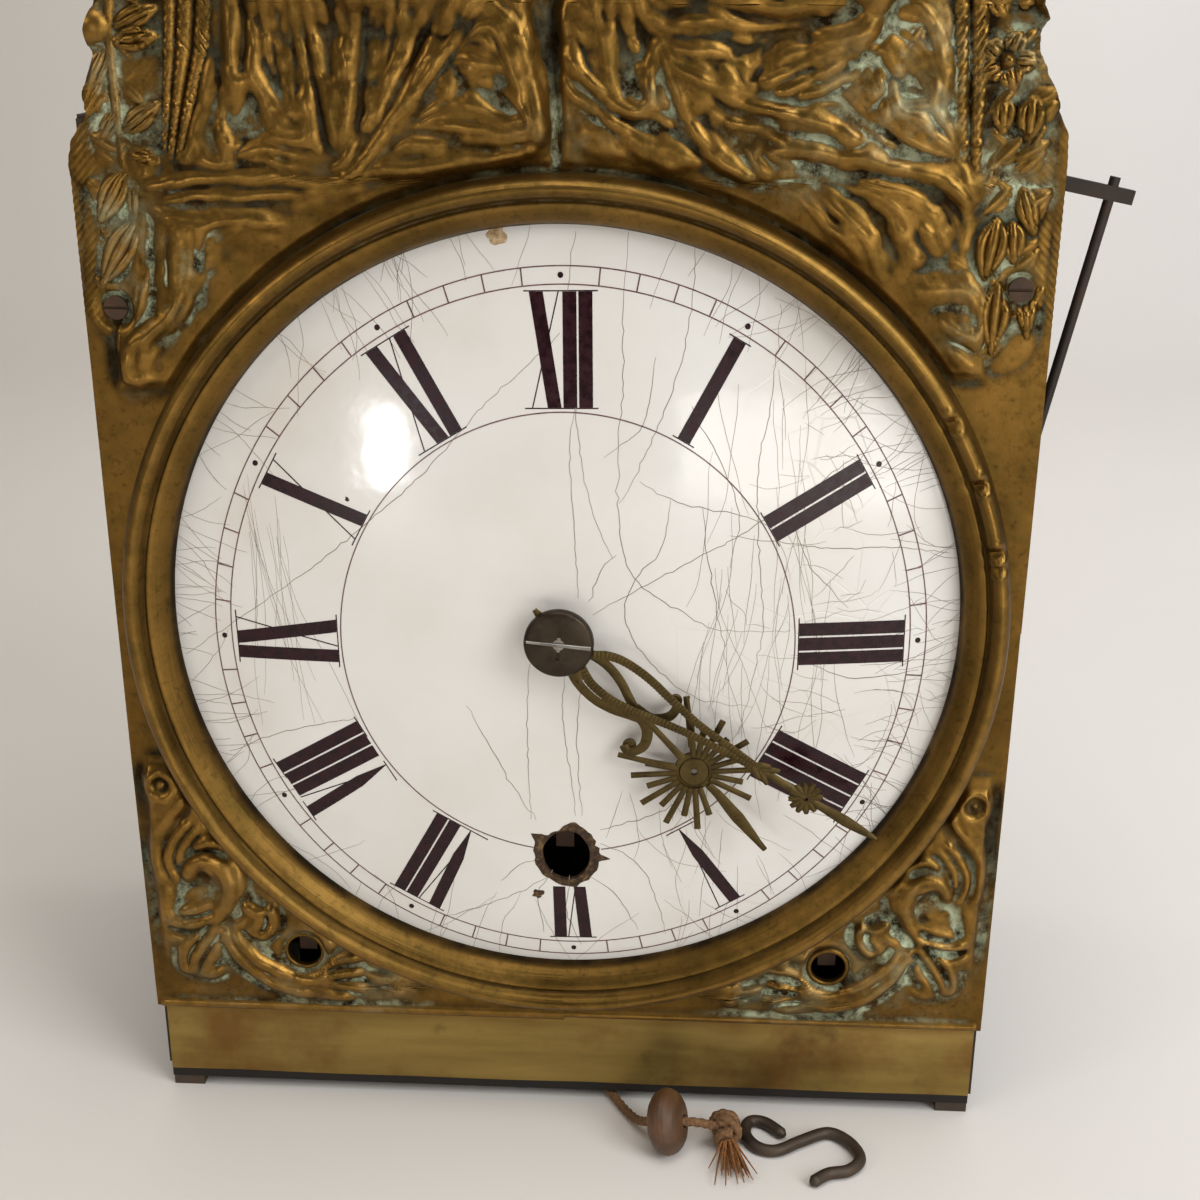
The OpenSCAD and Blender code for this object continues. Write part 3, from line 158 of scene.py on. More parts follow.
def smoothPath(points, step):
    # one smooth curve through the points, with a point every step
    points = np.asarray(points, dtype=float)
    ends = np.vstack([2 * points[0] - points[1], points, 2 * points[-1] - points[-2]])
    curve = []
    for a, b, c, d in zip(ends[:-3], ends[1:-2], ends[2:-1], ends[3:]):
        t = np.linspace(0, 1, 24, endpoint=False)[:, None]
        curve.append(0.5 * (2 * b + (c - a) * t + (2 * a - 5 * b + 4 * c - d) * t ** 2
                            + (3 * b - a - 3 * c + d) * t ** 3))
    curve = np.vstack(curve + [points[-1:]])
    along = np.concatenate([[0], np.cumsum(np.linalg.norm(np.diff(curve, axis=0), axis=1))])
    count = max(3, int(along[-1] / step) + 1)
    spots = np.linspace(0, along[-1], count)
    return np.stack([np.interp(spots, along, curve[:, k]) for k in range(3)], axis=1)


def tube(name, path, section, sides=12):
    # a closed tube along the path; section(s, angle) gives its radius, s from 0 to 1
    path = np.asarray(path, dtype=float)
    count = len(path)
    tangents = np.gradient(path, axis=0)
    tangents /= np.linalg.norm(tangents, axis=1)[:, None]
    side = np.cross(tangents[0], (0, 0, 1) if abs(tangents[0][2]) < 0.9 else (0, 1, 0))
    sidesAlong = []
    for tangent in tangents:
        side = side - tangent * np.dot(side, tangent)
        side /= np.linalg.norm(side)
        sidesAlong.append(side)
    sidesAlong = np.array(sidesAlong)
    upAlong = np.cross(tangents, sidesAlong)

    def place(u, v):
        index = np.rint(v * (count - 1)).astype(int)
        angle = 2 * np.pi * u
        radius = section(v, angle)
        return path[index] + (sidesAlong[index] * (np.cos(angle) * radius)[:, None]
                              + upAlong[index] * (np.sin(angle) * radius)[:, None])
    obj = gridPatch(name, sides, count - 1, place)
    weld(obj, fillEnds=True)
    smoothShade(obj, 60)
    return obj


def lathe(name, profile, centre, steps, closed=True):
    # spin a profile of (radius, depth) points in mm about the axis that runs front to back
    profile = np.asarray(profile, dtype=float)

    def place(u, v):
        index = np.rint(v * (len(profile) - 1)).astype(int)
        angle = 2 * np.pi * u
        radius, depth = profile[index, 0], profile[index, 1]
        return inMetres(centre[0] + radius * np.sin(angle), depth, centre[1] + radius * np.cos(angle))
    obj = gridPatch(name, steps, len(profile) - 1, place)
    weld(obj, fillEnds=closed)
    smoothShade(obj, 50)
    return obj


def dress(obj, body, slot, material, *replaced):
    obj.data.materials.clear()
    obj.data.materials.append(material)
    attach(obj, body)
    if replaced:
        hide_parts(*replaced)
    return obj


# small helpers for materials
def srgb(red, green, blue):
    def line(value):
        value /= 255
        return value / 12.92 if value <= 0.04045 else ((value + 0.055) / 1.055) ** 2.4
    return (line(red), line(green), line(blue), 1.0)


class Finish:
    # a material with its shader, and short ways to add nodes
    def __init__(self, name):
        self.material = bpy.data.materials.new(name)
        self.material.use_nodes = True
        self.tree = self.material.node_tree
        self.tree.nodes.clear()
        self.shader = self.tree.nodes.new("ShaderNodeBsdfPrincipled")
        output = self.tree.nodes.new("ShaderNodeOutputMaterial")
        self.tree.links.new(self.shader.outputs["BSDF"], output.inputs["Surface"])
        self.place = self.tree.nodes.new("ShaderNodeTexCoord").outputs["Object"]

    def set(self, socket, value):
        target = self.shader.inputs[socket]
        if isinstance(value, bpy.types.NodeSocket):
            self.tree.links.new(value, target)
        else:
            target.default_value = value

    def add(self, kind, inputs, output, **settings):
        made = self.tree.nodes.new(kind)
        for key, value in settings.items():
            setattr(made, key, value)
        for key, value in inputs.items():
            if isinstance(value, bpy.types.NodeSocket):
                self.tree.links.new(value, made.inputs[key])
            else:
                made.inputs[key].default_value = value
        return made.outputs[output]

    def noise(self, scale, detail=4.0, roughness=0.55, vector=None, distortion=0.0):
        return self.add("ShaderNodeTexNoise", {
            "Vector": vector or self.place, "Scale": scale, "Detail": detail,
            "Roughness": roughness, "Distortion": distortion}, "Fac")

    def cells(self, scale, vector=None, feature="DISTANCE_TO_EDGE", randomness=1.0):
        inputs = {"Vector": vector or self.place, "Scale": scale, "Randomness": randomness}
        return self.add("ShaderNodeTexVoronoi", inputs, "Distance", feature=feature)

    def stretch(self, scale, rotation=(0, 0, 0), shift=(0, 0, 0), vector=None):
        return self.add("ShaderNodeMapping", {"Vector": vector or self.place, "Scale": scale,
                                              "Rotation": rotation, "Location": shift}, "Vector")

    def ramp(self, value, stops):
        made = self.tree.nodes.new("ShaderNodeValToRGB")
        while len(made.color_ramp.elements) < len(stops):
            made.color_ramp.elements.new(0.5)
        for element, (position, colour) in zip(made.color_ramp.elements, stops):
            element.position = position
            element.color = colour if hasattr(colour, "__len__") else (colour, colour, colour, 1.0)
        self.tree.links.new(value, made.inputs["Fac"])
        return made.outputs["Color"]

    def range(self, value, low, high, toLow=0.0, toHigh=1.0):
        return self.add("ShaderNodeMapRange", {"Value": value, "From Min": low, "From Max": high,
                                               "To Min": toLow, "To Max": toHigh}, "Result")

    def math(self, operation, a, b=0.0):
        return self.add("ShaderNodeMath", {0: a, 1: b}, "Value", operation=operation)

    def times(self, a, b):
        return self.math("MULTIPLY", a, b)

    def mix(self, share, a, b, blend="MIX"):
        made = self.tree.nodes.new("ShaderNodeMix")
        made.data_type = "RGBA"
        made.blend_type = blend
        for index, value in ((0, share), (6, a), (7, b)):
            if isinstance(value, bpy.types.NodeSocket):
                self.tree.links.new(value, made.inputs[index])
            else:
                made.inputs[index].default_value = value
        return made.outputs[2]

    def attribute(self, name):
        return self.add("ShaderNodeAttribute", {}, "Fac", attribute_name=name)

    def bump(self, height, strength, distance):
        normal = self.add("ShaderNodeBump", {
            "Height": height, "Strength": strength, "Distance": distance}, "Normal")
        self.set("Normal", normal)


# plain pale table that rises behind the clock, with painted shade that darkens it toward the left, and
# soft light
stageSet = {"width": 3.2, "front": -1.3, "back": 1.1, "bend": 0.6, "rise": 1.4,
            "near": srgb(219, 213, 205), "far": srgb(236, 233, 230)}


def makeStage():
    flat = stageSet["back"] - stageSet["front"]
    arc = stageSet["bend"] * math.pi / 2
    total = flat + arc + stageSet["rise"]

    def place(u, v):
        s = v * total
        turn = np.clip((s - flat) / stageSet["bend"], 0, math.pi / 2)
        y = stageSet["front"] + np.minimum(s, flat) + stageSet["bend"] * np.sin(turn)
        z = stageSet["bend"] * (1 - np.cos(turn)) + np.maximum(s - flat - arc, 0)
        return np.stack([(u - 0.5) * stageSet["width"], y, z], axis=1)
    floor = gridPatch("table", 2, 60, place)
    smoothShade(floor)
    finish = Finish("tablePaper")
    across = finish.add("ShaderNodeSeparateXYZ", {"Vector": finish.place}, "X")
    # painted shade: the table runs from the darker near colour at the left to the lighter far colour at
    # the right
    shade = finish.range(across, -0.5, 0.6)
    cloud = finish.noise(2.2, 3.0)
    tone = finish.mix(shade, stageSet["near"], stageSet["far"])
    finish.set("Base Color", finish.mix(finish.range(cloud, 0.3, 0.7, 0.0, 0.06), tone,
                                        srgb(196, 186, 174)))
    finish.set("Roughness", 0.62)
    finish.bump(finish.noise(900.0, 2.0), 0.05, 0.0003)
    floor.data.materials.append(finish.material)


lightSet = {
    "window": {"place": (1.15, -0.95, 1.05), "aim": (0.05, 0, 0.2), "size": (0.9, 1.1), "power": 19.0,
               "tint": (0.96, 0.985, 1.0)},
    "ceiling": {"place": (0.1, -0.3, 1.9), "aim": (0.1, 0.1, 0), "size": (1.3, 1.3), "power": 16.0,
                "tint": (1.0, 0.98, 0.95)},
    "wash": {"place": (0.25, 0.3, 1.5), "aim": (0.3, 1.7, 0.7), "size": (1.4, 0.5), "power": 9.5,
             "tint": (1.0, 0.98, 0.96)},
    "bounce": {"place": (0.5, -1.0, 0.04), "aim": (0.08, 0, 0.2), "size": (0.8, 0.3), "power": 3.2,
               "tint": (1.0, 0.98, 0.94)},
    "lamp": {"place": (-1.2, -0.9, 0.9), "aim": (0, 0, 0.2), "size": (0.5, 0.5), "power": 3.5,
             "tint": (1.0, 0.9, 0.78)},
    "glare": {"place": (-0.36, -0.96, 0.105), "aim": (-0.05, 0, 0.22), "size": (0.05, 0.12), "power": 0.55,
              "tint": (1, 1, 1)},
}


def makeLights():
    from mathutils import Vector
    for name, light in lightSet.items():
        aim = Vector(light["aim"]) - Vector(light["place"])
        bpy.ops.object.light_add(type="AREA", location=light["place"],
                                 rotation=aim.to_track_quat("-Z", "Y").to_euler())
        lamp = bpy.context.object
        lamp.name = name
        lamp.data.shape = "RECTANGLE"
        lamp.data.size, lamp.data.size_y = light["size"]
        lamp.data.energy = light["power"]
        lamp.data.color = light["tint"]
    world = bpy.data.worlds.new("room")
    world.use_nodes = True
    world.node_tree.nodes["Background"].inputs["Color"].default_value = (0.90, 0.88, 0.86, 1)
    world.node_tree.nodes["Background"].inputs["Strength"].default_value = 0.15
    scene.world = world
    scene.view_settings.view_transform = "Standard"


makeStage()
makeLights()
print("stage and lights set")

# the going train's cord: down from the drum, out under the apron, through its button to a knot
cordSet = {"diameter": 3.0, "y": 61.25, "button": (33.8, -19.0, 9.6), "axis": (0.95, -0.2, 0.22),
           "lay": 8.5, "knot": (52.3, -15.2, 5.2), "fray": (55.0, -35.0, 2.6), "strands": 26}
hookSet = {"wire": 3.8, "z": 2.0}
windingSet = {"radius": 21.8, "pitch": 3.55, "turns": 10, "start": 43.5, "z": 95.9975}


def cordPoints():
    y = cordSet["y"]
    button = np.array(cordSet["button"])
    axis = np.array(cordSet["axis"]) / np.linalg.norm(cordSet["axis"])
    return [(-25.4, y, 100), (-25.4, y, 80), (-25.4, y, 40), (-25.4, y, 20), (-23.5, y - 1, 11),
            (-19.5, y - 5, 4.8), (-13, y - 12, 1.6), (-6, 40, 1.6), (2, 28, 1.6), (9, 16, 1.6),
            (14, 7, 1.6), (19, -2, 1.6), (23.5, -10, 3.2), (27, -15.5, 6.6), tuple(button - 3 * axis),
            tuple(button + 3 * axis), (43.5, -20, 10.4), (49.6, -16.8, 6.6)]


def twisted(length, radius, lay):
    # three strands laid into one round cord
    def section(s, angle):
        lobe = np.abs(np.cos(1.5 * (angle - 2 * np.pi * s * length / lay)))
        return mm * radius * (0.74 + 0.26 * lobe)
    return section


def pathLength(path):
    return float(np.linalg.norm(np.diff(path, axis=0), axis=1).sum())


def cordFinish(name, light, dark):
    finish = Finish(name)
    fibre = finish.noise(1400.0, 3.0, 0.6, finish.stretch((1, 1, 0.35)))
    grime = finish.noise(60.0, 4.0)
    tone = finish.mix(finish.range(fibre, 0.3, 0.7), dark, light)
    finish.set("Base Color", finish.mix(finish.range(grime, 0.45, 0.75, 0.0, 0.45), tone,
                                        srgb(58, 38, 22)))
    finish.set("Roughness", 0.92)
    finish.bump(fibre, 0.5, 0.0004)
    return finish.material


cordMaterial = cordFinish("hemp", srgb(146, 108, 70), srgb(84, 56, 32))
frayMaterial = cordFinish("frayedHemp", srgb(168, 112, 58), srgb(104, 62, 28))


def makeCord():
    path = smoothPath(cordPoints(), 0.7)
    length = pathLength(path)
    cord = tube("weightCord", mm * path, twisted(length, cordSet["diameter"] / 2, cordSet["lay"]), 18)
    dress(cord, "case", "cord", cordMaterial, "weight_cord")
    return cord, path, mm * length


def makeKnot():
    # two wraps of the cord round itself, then loose fibres that fall to the table
    knot = np.array(cordSet["knot"])
    lean = np.array(cordSet["fray"]) - knot
    lean /= np.linalg.norm(lean)
    side = np.cross(lean, (0, 0, 1))
    side /= np.linalg.norm(side)
    up = np.cross(side, lean)
    turns = np.linspace(0, 2.3 * 2 * np.pi, 70)
    wrap = [knot + 3.2 * (side * math.cos(a) + up * math.sin(a) * 0.95) + lean * (a * 0.62 - 3.6)
            for a in turns]
    pieces = [tube("knotWrap", mm * np.array(wrap), twisted(48.0, 1.75, cordSet["lay"]), 14)]
    core = [knot - lean * 4.6 + side * 1.2, knot - lean * 1.5, knot + lean * 2.5, knot + lean * 6.5]
    pieces.append(tube("knotCore", mm * smoothPath(core, 0.6), twisted(11.0, 2.0, cordSet["lay"]), 14))
    cross = [knot + side * 3.6 + up * 1.6 - lean * 2.2, knot + up * 4.2 + lean * 0.6,
             knot - side * 3.6 + up * 1.2 + lean * 3.2]
    pieces.append(tube("knotOver", mm * smoothPath(cross, 0.6), twisted(12.0, 1.6, cordSet["lay"]), 14))
    obj = joinAll(pieces, "cordKnot")
    dress(obj, "case", "cord", cordMaterial, "weight_cord")
    random = np.random.default_rng(5)
    threads = []
    for index in range(cordSet["strands"]):
        spread = random.normal(0, 1.0, 2)
        reach = random.uniform(11, 19)
        start = knot + lean * 4.5 + side * spread[0] * 0.7 + up * spread[1] * 0.5
        middle = start + lean * reach * 0.5 + side * spread[0] * 1.6 + up * 0.4 * spread[1]
        end = start + lean * reach + side * spread[0] * (2.4 + 1.2 * random.random())
        middle[2] = max(middle[2], 1.0)
        end[2] = max(0.6, end[2] - 0.8 * random.random())
        thread = smoothPath([start, middle, end], 1.6)
        threads.append(tube("fibre", mm * thread, lambda s, a: mm * 0.42 * (1.15 - 0.75 * s), 6))
    fray = joinAll(threads, "cordFray")
    dress(fray, "case", "cord", frayMaterial, "weight_cord")
    return obj, fray


def makeWinding():
    angles = np.arange(0, 360.0 * windingSet["turns"] + 1, 7.5)
    turn = np.radians(angles)
    path = np.stack([windingSet["radius"] * np.cos(turn),
                     windingSet["start"] + windingSet["pitch"] * angles / 360,
                     windingSet["z"] + windingSet["radius"] * np.sin(turn)], axis=1)
    section = twisted(pathLength(path), cordSet["diameter"] / 2, cordSet["lay"])
    winding = tube("cordWinding", mm * path, section, 12)
    dress(winding, "going_barrel", "cord", cordMaterial, "cord_winding")


weightCord, cordPath, cordLength = makeCord()
cordKnot, cordFray = makeKnot()
makeWinding()
print("cord laid,", round(cordLength, 3), "m")

# pressed front sheet: a map of heights in mm, built up from strokes, then laid on grids
plateSet = {"dialZ": 170.0, "windX": 83.0, "windZ": 56.0, "windR": 5.9, "holeR": 126.6, "top": 434.0,
            "sheet": 0.8, "cell": 0.5, "left": -137.0, "low": 33.0, "width": 274.0, "height": 404.0}
dialZ = plateSet["dialZ"]
rasterX = plateSet["left"] + plateSet["cell"] * np.arange(int(plateSet["width"] / plateSet["cell"]))
rasterZ = plateSet["low"] + plateSet["cell"] * np.arange(int(plateSet["height"] / plateSet["cell"]))
heights = np.zeros((len(rasterZ), len(rasterX)))
courses = np.zeros((2,) + heights.shape)


def window(points, reach):
    # the part of the map within reach of a stroke, and its coordinates
    low = np.min(points, axis=0) - reach
    high = np.max(points, axis=0) + reach
    columns = slice(*np.searchsorted(rasterX, (low[0], high[0])))
    rows = slice(*np.searchsorted(rasterZ, (low[1], high[1])))
    x, z = np.meshgrid(rasterX[columns], rasterZ[rows])
    return (rows, columns), x, z


def strokeReach(points, x, z):
    # distance from a line of points, share along it, and which side
    points = np.asarray(points, dtype=float)
    if len(points) == 1:
        return np.hypot(x - points[0][0], z - points[0][1]), np.full_like(x, 0.5), np.ones_like(x)
    lengths = np.linalg.norm(np.diff(points, axis=0), axis=1)
    total = lengths.sum()
    nearest = np.full_like(x, 1e9)
    share = np.zeros_like(x)
    side = np.zeros_like(x)
    start = 0.0
    for a, b, length in zip(points[:-1], points[1:], lengths):
        run = (b - a) / length
        along = np.clip((x - a[0]) * run[0] + (z - a[1]) * run[1], 0, length)
        dx, dz = x - a[0] - run[0] * along, z - a[1] - run[1] * along
        distance = np.hypot(dx, dz)
        closer = distance < nearest
        nearest = np.where(closer, distance, nearest)
        share = np.where(closer, (start + along) / total, share)
        side = np.where(closer, np.sign(run[0] * dz - run[1] * dx), side)
        start += length
    return nearest, share, side


def curved(points):
    if len(points) < 3:
        return np.asarray(points, dtype=float)
    flat = np.asarray(points, dtype=float)
    return smoothPath(np.column_stack([flat, np.zeros(len(flat))]), 2.0)[:, :2]


def swell(points, halfWidth, height):
    # a rounded body that merges softly with what is there
    where, x, z = window(np.asarray(points, dtype=float), halfWidth)
    distance, share, side = strokeReach(curved(points), x, z)
    lift = height * np.clip(1 - (distance / halfWidth) ** 2, 0, 1) ** 0.7
    heights[where] = (heights[where] ** 3 + lift ** 3) ** (1 / 3)


def fold(points, width, height):
    # a ridge, or with a height below zero a crease, that fades at its ends
    path = curved(points)
    where, x, z = window(path, 2.6 * width)
    distance, share, side = strokeReach(path, x, z)
    ends = np.clip(np.minimum(share, 1 - share) / 0.18, 0.0, 1) ** 0.6
    lift = height * ends * np.exp(-1.1 * (distance / width) ** 2)
    heights[where] = np.maximum(heights[where] + lift, 0)


def leaf(start, end, width, height, lift=0.6, stripes=3, fat=0.8):
    # a pointed leaf or petal with ribs that run along it
    line = np.array([start, end], dtype=float)
    where, x, z = window(line, width)
    run = line[1] - line[0]
    length = np.hypot(*run)
    run /= length
    along = ((x - line[0][0]) * run[0] + (z - line[0][1]) * run[1]) / length
    across = run[0] * (z - line[0][1]) - run[1] * (x - line[0][0])
    inside = np.clip(along, 0, 1)
    half = 0.5 * width * np.sin(np.pi * inside ** fat) ** 1.15 + 1e-6
    ratio = np.abs(across) / half
    body = np.where((along > 0) & (along < 1) & (ratio < 1), np.sqrt(np.clip(1 - ratio ** 2, 0, 1)), 0)
    ribs = 0.19 * np.cos(np.pi * stripes * np.clip(across / half, -1, 1)) * np.clip(body * 1.5, 0, 1)
    top = np.where(body > 0, lift + 0.7 * height
                   * (body ** 0.7 * (0.75 + 0.25 * np.sin(np.pi * inside)) + ribs), 0)
    heights[where] = np.maximum(heights[where], top)


def ball(x0, z0, radius, height, lift=1.0):
    where, x, z = window(np.array([[x0, z0]], dtype=float), radius)
    ratio = np.hypot(x - x0, z - z0) / radius
    top = np.where(ratio < 1, lift + height * np.sqrt(np.clip(1 - ratio ** 2, 0, 1)), 0)
    heights[where] = np.maximum(heights[where], top)


def strand(points, width, height, lift=1.0):
    # a round cord of metal, such as a stem or a scroll's rim
    path = curved(points)
    where, x, z = window(path, width)
    distance, share, side = strokeReach(path, x, z)
    half = 0.5 * width * (1 - 0.35 * share)
    top = np.where(distance < half, lift + height * np.sqrt(np.clip(1 - (distance / half) ** 2, 0, 1)), 0)
    heights[where] = np.maximum(heights[where], top)


def arcPoints(x, z, radius, start, stop):
    turns = [math.radians(angle) for angle in range(start, stop, 20)]
    return [(x + radius * math.cos(turn), z + radius * math.sin(turn)) for turn in turns]


def softened(field, cells):
    # three running means, close to a round blur
    for axis in (0, 1, 0, 1, 0, 1):
        field = np.moveaxis(field, axis, 0)
        padded = np.concatenate([np.repeat(field[:1], cells, 0), field, np.repeat(field[-1:], cells, 0)])
        total = np.cumsum(np.concatenate([np.zeros_like(padded[:1]), padded]), axis=0)
        span = 2 * cells + 1
        field = np.moveaxis((total[span:] - total[:-span]) / span, 0, axis)
    return field


def drape(lines, low, high, left, right, flat=0.68, lift=0.9, puff=0.004, keep=0.44, rounds=420):
    # cloth stretched over lines of a level and x, z pairs: folds are held high, creases low
    columns = slice(*np.searchsorted(rasterX, (left, right)))
    rows = slice(*np.searchsorted(rasterZ, (low, high)))
    x, z = np.meshgrid(rasterX[columns], rasterZ[rows])
    level = np.zeros(x.shape)
    held = np.hypot(x, z - dialZ) < 130
    level[held] = 0.9
    held[0, :] = held[:, 0] = held[:, -1] = True
    level[0, :] = level[:, 0] = level[:, -1] = 0.0
    for height, *numbers in lines:
        path = curved(np.reshape(numbers, (-1, 2)))
        reach = np.array([[path[:, 0].min() - 1, path[:, 1].min() - 1],
                          [path[:, 0].max() + 1, path[:, 1].max() + 1]])
        c = slice(*np.searchsorted(x[0], reach[:, 0]))
        r = slice(*np.searchsorted(z[:, 0], reach[:, 1]))
        if c.start >= c.stop or r.start >= r.stop:
            continue
        distance, share, side = strokeReach(path, x[r, c], z[r, c])
        on = distance < 0.42
        level[r, c] = np.where(on, flat * height + lift, level[r, c])
        held[r, c] |= on
        run = np.gradient(path, axis=0)
        double = np.stack([run[:, 0] ** 2 - run[:, 1] ** 2,
                           2 * run[:, 0] * run[:, 1]]) / (run ** 2).sum(axis=1)
        stations = np.linspace(0, 1, len(path))
        for part in (0, 1):
            courses[part, rows, columns][r, c] += on * np.interp(share, stations, double[part])
    spread = level.copy()
    weight = held.astype(float)
    for cells in (24, 12, 6, 3):
        near = softened(weight, cells)
        guess = softened(level * weight, cells) / np.maximum(near, 1e-6)
        spread = np.where(near > 0.01, guess, spread)
    spread = np.where(held, level, spread)
    for turn in range(rounds):
        edged = np.pad(spread, 1, mode="edge")
        mean = 0.25 * (edged[:-2, 1:-1] + edged[2:, 1:-1] + edged[1:-1, :-2] + edged[1:-1, 2:])
        spread = np.where(held, level, mean + puff * (mean > 2.4))
    broad = softened(np.maximum(spread, softened(spread, 4)), 5)
    rounded = softened(broad + keep * (spread - broad), 1)
    rim = np.minimum(np.minimum(x - left, right - x), z - low)
    rounded *= np.clip((high - z) / 7, 0, 1) ** 0.7 * np.clip(rim / 4, 0, 1) ** 0.8
    heights[rows, columns] = np.maximum(heights[rows, columns], rounded)


leftFigure = [
    # the wing's edge, the hanging leg cloth and the hem beside it
    (3.0, -88.5, 350, -89, 335, -90, 325, -92, 310, -93.5, 307), (4.6, -91.5, 325, -95, 312, -99, 302),
    (7.8, -84, 350, -84.3, 335, -85, 325, -85.3, 321), (7.2, -87, 316, -86, 320),
    (2.6, -80.6, 350, -81.4, 338, -82.6, 328, -83.6, 323), (6.4, -78.6, 350, -79, 340, -79, 331),
    (7.4, -80, 328, -80.4, 323.5, -83, 321.8, -86, 321.5), (7.2, -80, 322, -78, 321, -75.5, 318, -73, 314),
    (1.8, -81, 317.6, -79.5, 316, -79, 314.5), (6.0, -78, 318, -77.4, 314),
    (2.4, -89, 312, -86, 310.2, -83, 312.5, -81.5, 315), (3.6, -77.5, 326, -75, 322, -73.5, 318),
    (5.0, -95.6, 307, -95.6, 303, -92, 299.6, -88.8, 300.8, -89.6, 305, -91, 309, -90, 314),
    (2.6, -93.4, 305, -92.4, 302.5, -90.6, 303), (5.4, -89, 310, -87, 305.6, -83.5, 303.5, -79, 306),
    (3.0, -87.5, 301, -84, 305.5, -80, 308), (5.6, -76, 312, -71, 308, -66, 312),
    (5.4, -77, 303.6, -69, 303.8), (4.8, -77.2, 301.6, -74, 298, -69, 296, -63, 296, -58, 297),
    (2.8, -75, 302, -71, 298.6, -65, 297.8, -61, 299.4), (4.4, -100, 300.4, -97, 304),
    # long pleats, the pointed fall and the fan beside it
    (3.6, -72.4, 350, -72.4, 332, -71.6, 322), (6.2, -75.5, 350, -75.4, 332, -74.2, 323),
    (5.8, -70.8, 350, -70.6, 334, -69.8, 323), (3.8, -69, 350, -69, 332, -67.2, 323, -69, 318.5),
    (5.8, -67.6, 350, -66.6, 330, -63.8, 316), (3.6, -67, 350, -65.2, 330, -62.2, 313, -60.6, 304),
    (8.4, -66.4, 350, -63.6, 330, -61, 314, -59.2, 306), (3.0, -61.6, 350, -60, 334, -58.9, 322.5),
    (7.4, -57, 350, -57.6, 332, -58.6, 321.4, -57.6, 312, -57.4, 308),
    (8.4, -49.8, 350, -52.6, 330, -55, 315, -56.2, 306), (7.0, -59, 306.2, -57.6, 304.8, -56.2, 306.2),
    (3.0, -46.6, 350, -49.8, 332, -53.2, 314, -55, 306), (6.2, -44.8, 350, -47.4, 330, -50.8, 316),
    (4.2, -43, 350, -45.4, 332, -48.5, 320), (6.4, -40.6, 350, -43.6, 332, -48, 318),
    (3.8, -38.4, 350, -42.6, 328, -48.6, 314, -53.6, 304),
    (6.8, -34.6, 350, -40.6, 331, -47, 317, -51, 309),
    (3.2, -28.4, 350, -34.6, 332, -42, 320, -48.4, 308, -52, 303),
    (7.8, -24.6, 350, -31, 332.5, -38, 321.5, -45, 311.5, -52.6, 301, -58, 297),
    (3.4, -33, 319, -38, 313.4, -46, 304.6, -51.6, 300.4),
    # the knee under its cloth, the crumpled folds and the hem
    (9.2, -23.4, 335.6, -18, 339.4, -13.4, 336.6, -9.4, 331.6, -7.4, 322, -4.8, 313, -4.8, 308, -8, 304.4),
    (8.0, -31, 329, -26.6, 334.6, -24, 337.5), (7.6, -20, 350, -17, 343), (7.0, -8, 350, -8.6, 340),
    (8.0, -21, 331, -18, 329), (8.6, -24, 324.8, -18, 324.4, -14, 325, -11, 323, -10.2, 318),
    (8.6, -14, 325, -13.6, 331), (5.6, -23, 322.4, -19, 320.4, -14, 321.5),
    (4.0, -30, 323, -26.6, 326, -24.6, 322, -26.4, 318.6),
    (7.4, -28.6, 320.4, -27, 316, -24, 316.2, -21.6, 318), (7.6, -21.6, 318, -18, 314, -10.4, 311),
    (4.6, -20, 319.6, -17, 315.8, -12, 313.5), (6.6, -30, 310, -22, 310.4, -14, 308.6),
    (3.0, -40, 309, -34, 307.2, -28, 307, -17, 303.8), (5.2, -38, 306, -31, 305),
    (5.4, -48, 299, -38, 298.6, -25, 301, -12, 303.4, -6, 306), (2.8, -46, 302.4, -36, 302.6, -27, 303),
    (5.4, -34, 314.5, -30, 316.5),
    (1.2, -5.4, 350, -4.6, 332, -2.4, 318, -1.6, 310, -4.6, 303.4, -12, 301.2, -25, 298.6,
     -38, 296.4, -52, 294.6),
    # the ledge below, and the cloth that hangs from it at the far left
    (1.6, -108, 297, -101, 299.6, -94, 298.2, -86, 299.4, -79, 300),
    (4.2, -103, 294.6, -95, 296.6, -84, 296, -74, 295.6, -64, 294.2),
    (2.0, -109, 291, -100, 293.4, -90, 294.4, -80, 293.4, -68, 294),
    (3.8, -107, 290, -97, 292.4, -86, 291.6, -76, 292.6, -64, 292),
    (0.8, -91.4, 350, -94, 330, -100.6, 305), (0.8, -96, 350, -99, 325, -104, 303),
    (0.8, -104, 350, -106, 325, -109, 302), (0.8, -118, 350, -119, 320, -119, 300, -117, 291),
    (1.6, -100, 289.6, -90, 289, -82, 289.4, -72, 289.8), (3.2, -114, 300, -110, 294, -104, 299),
]
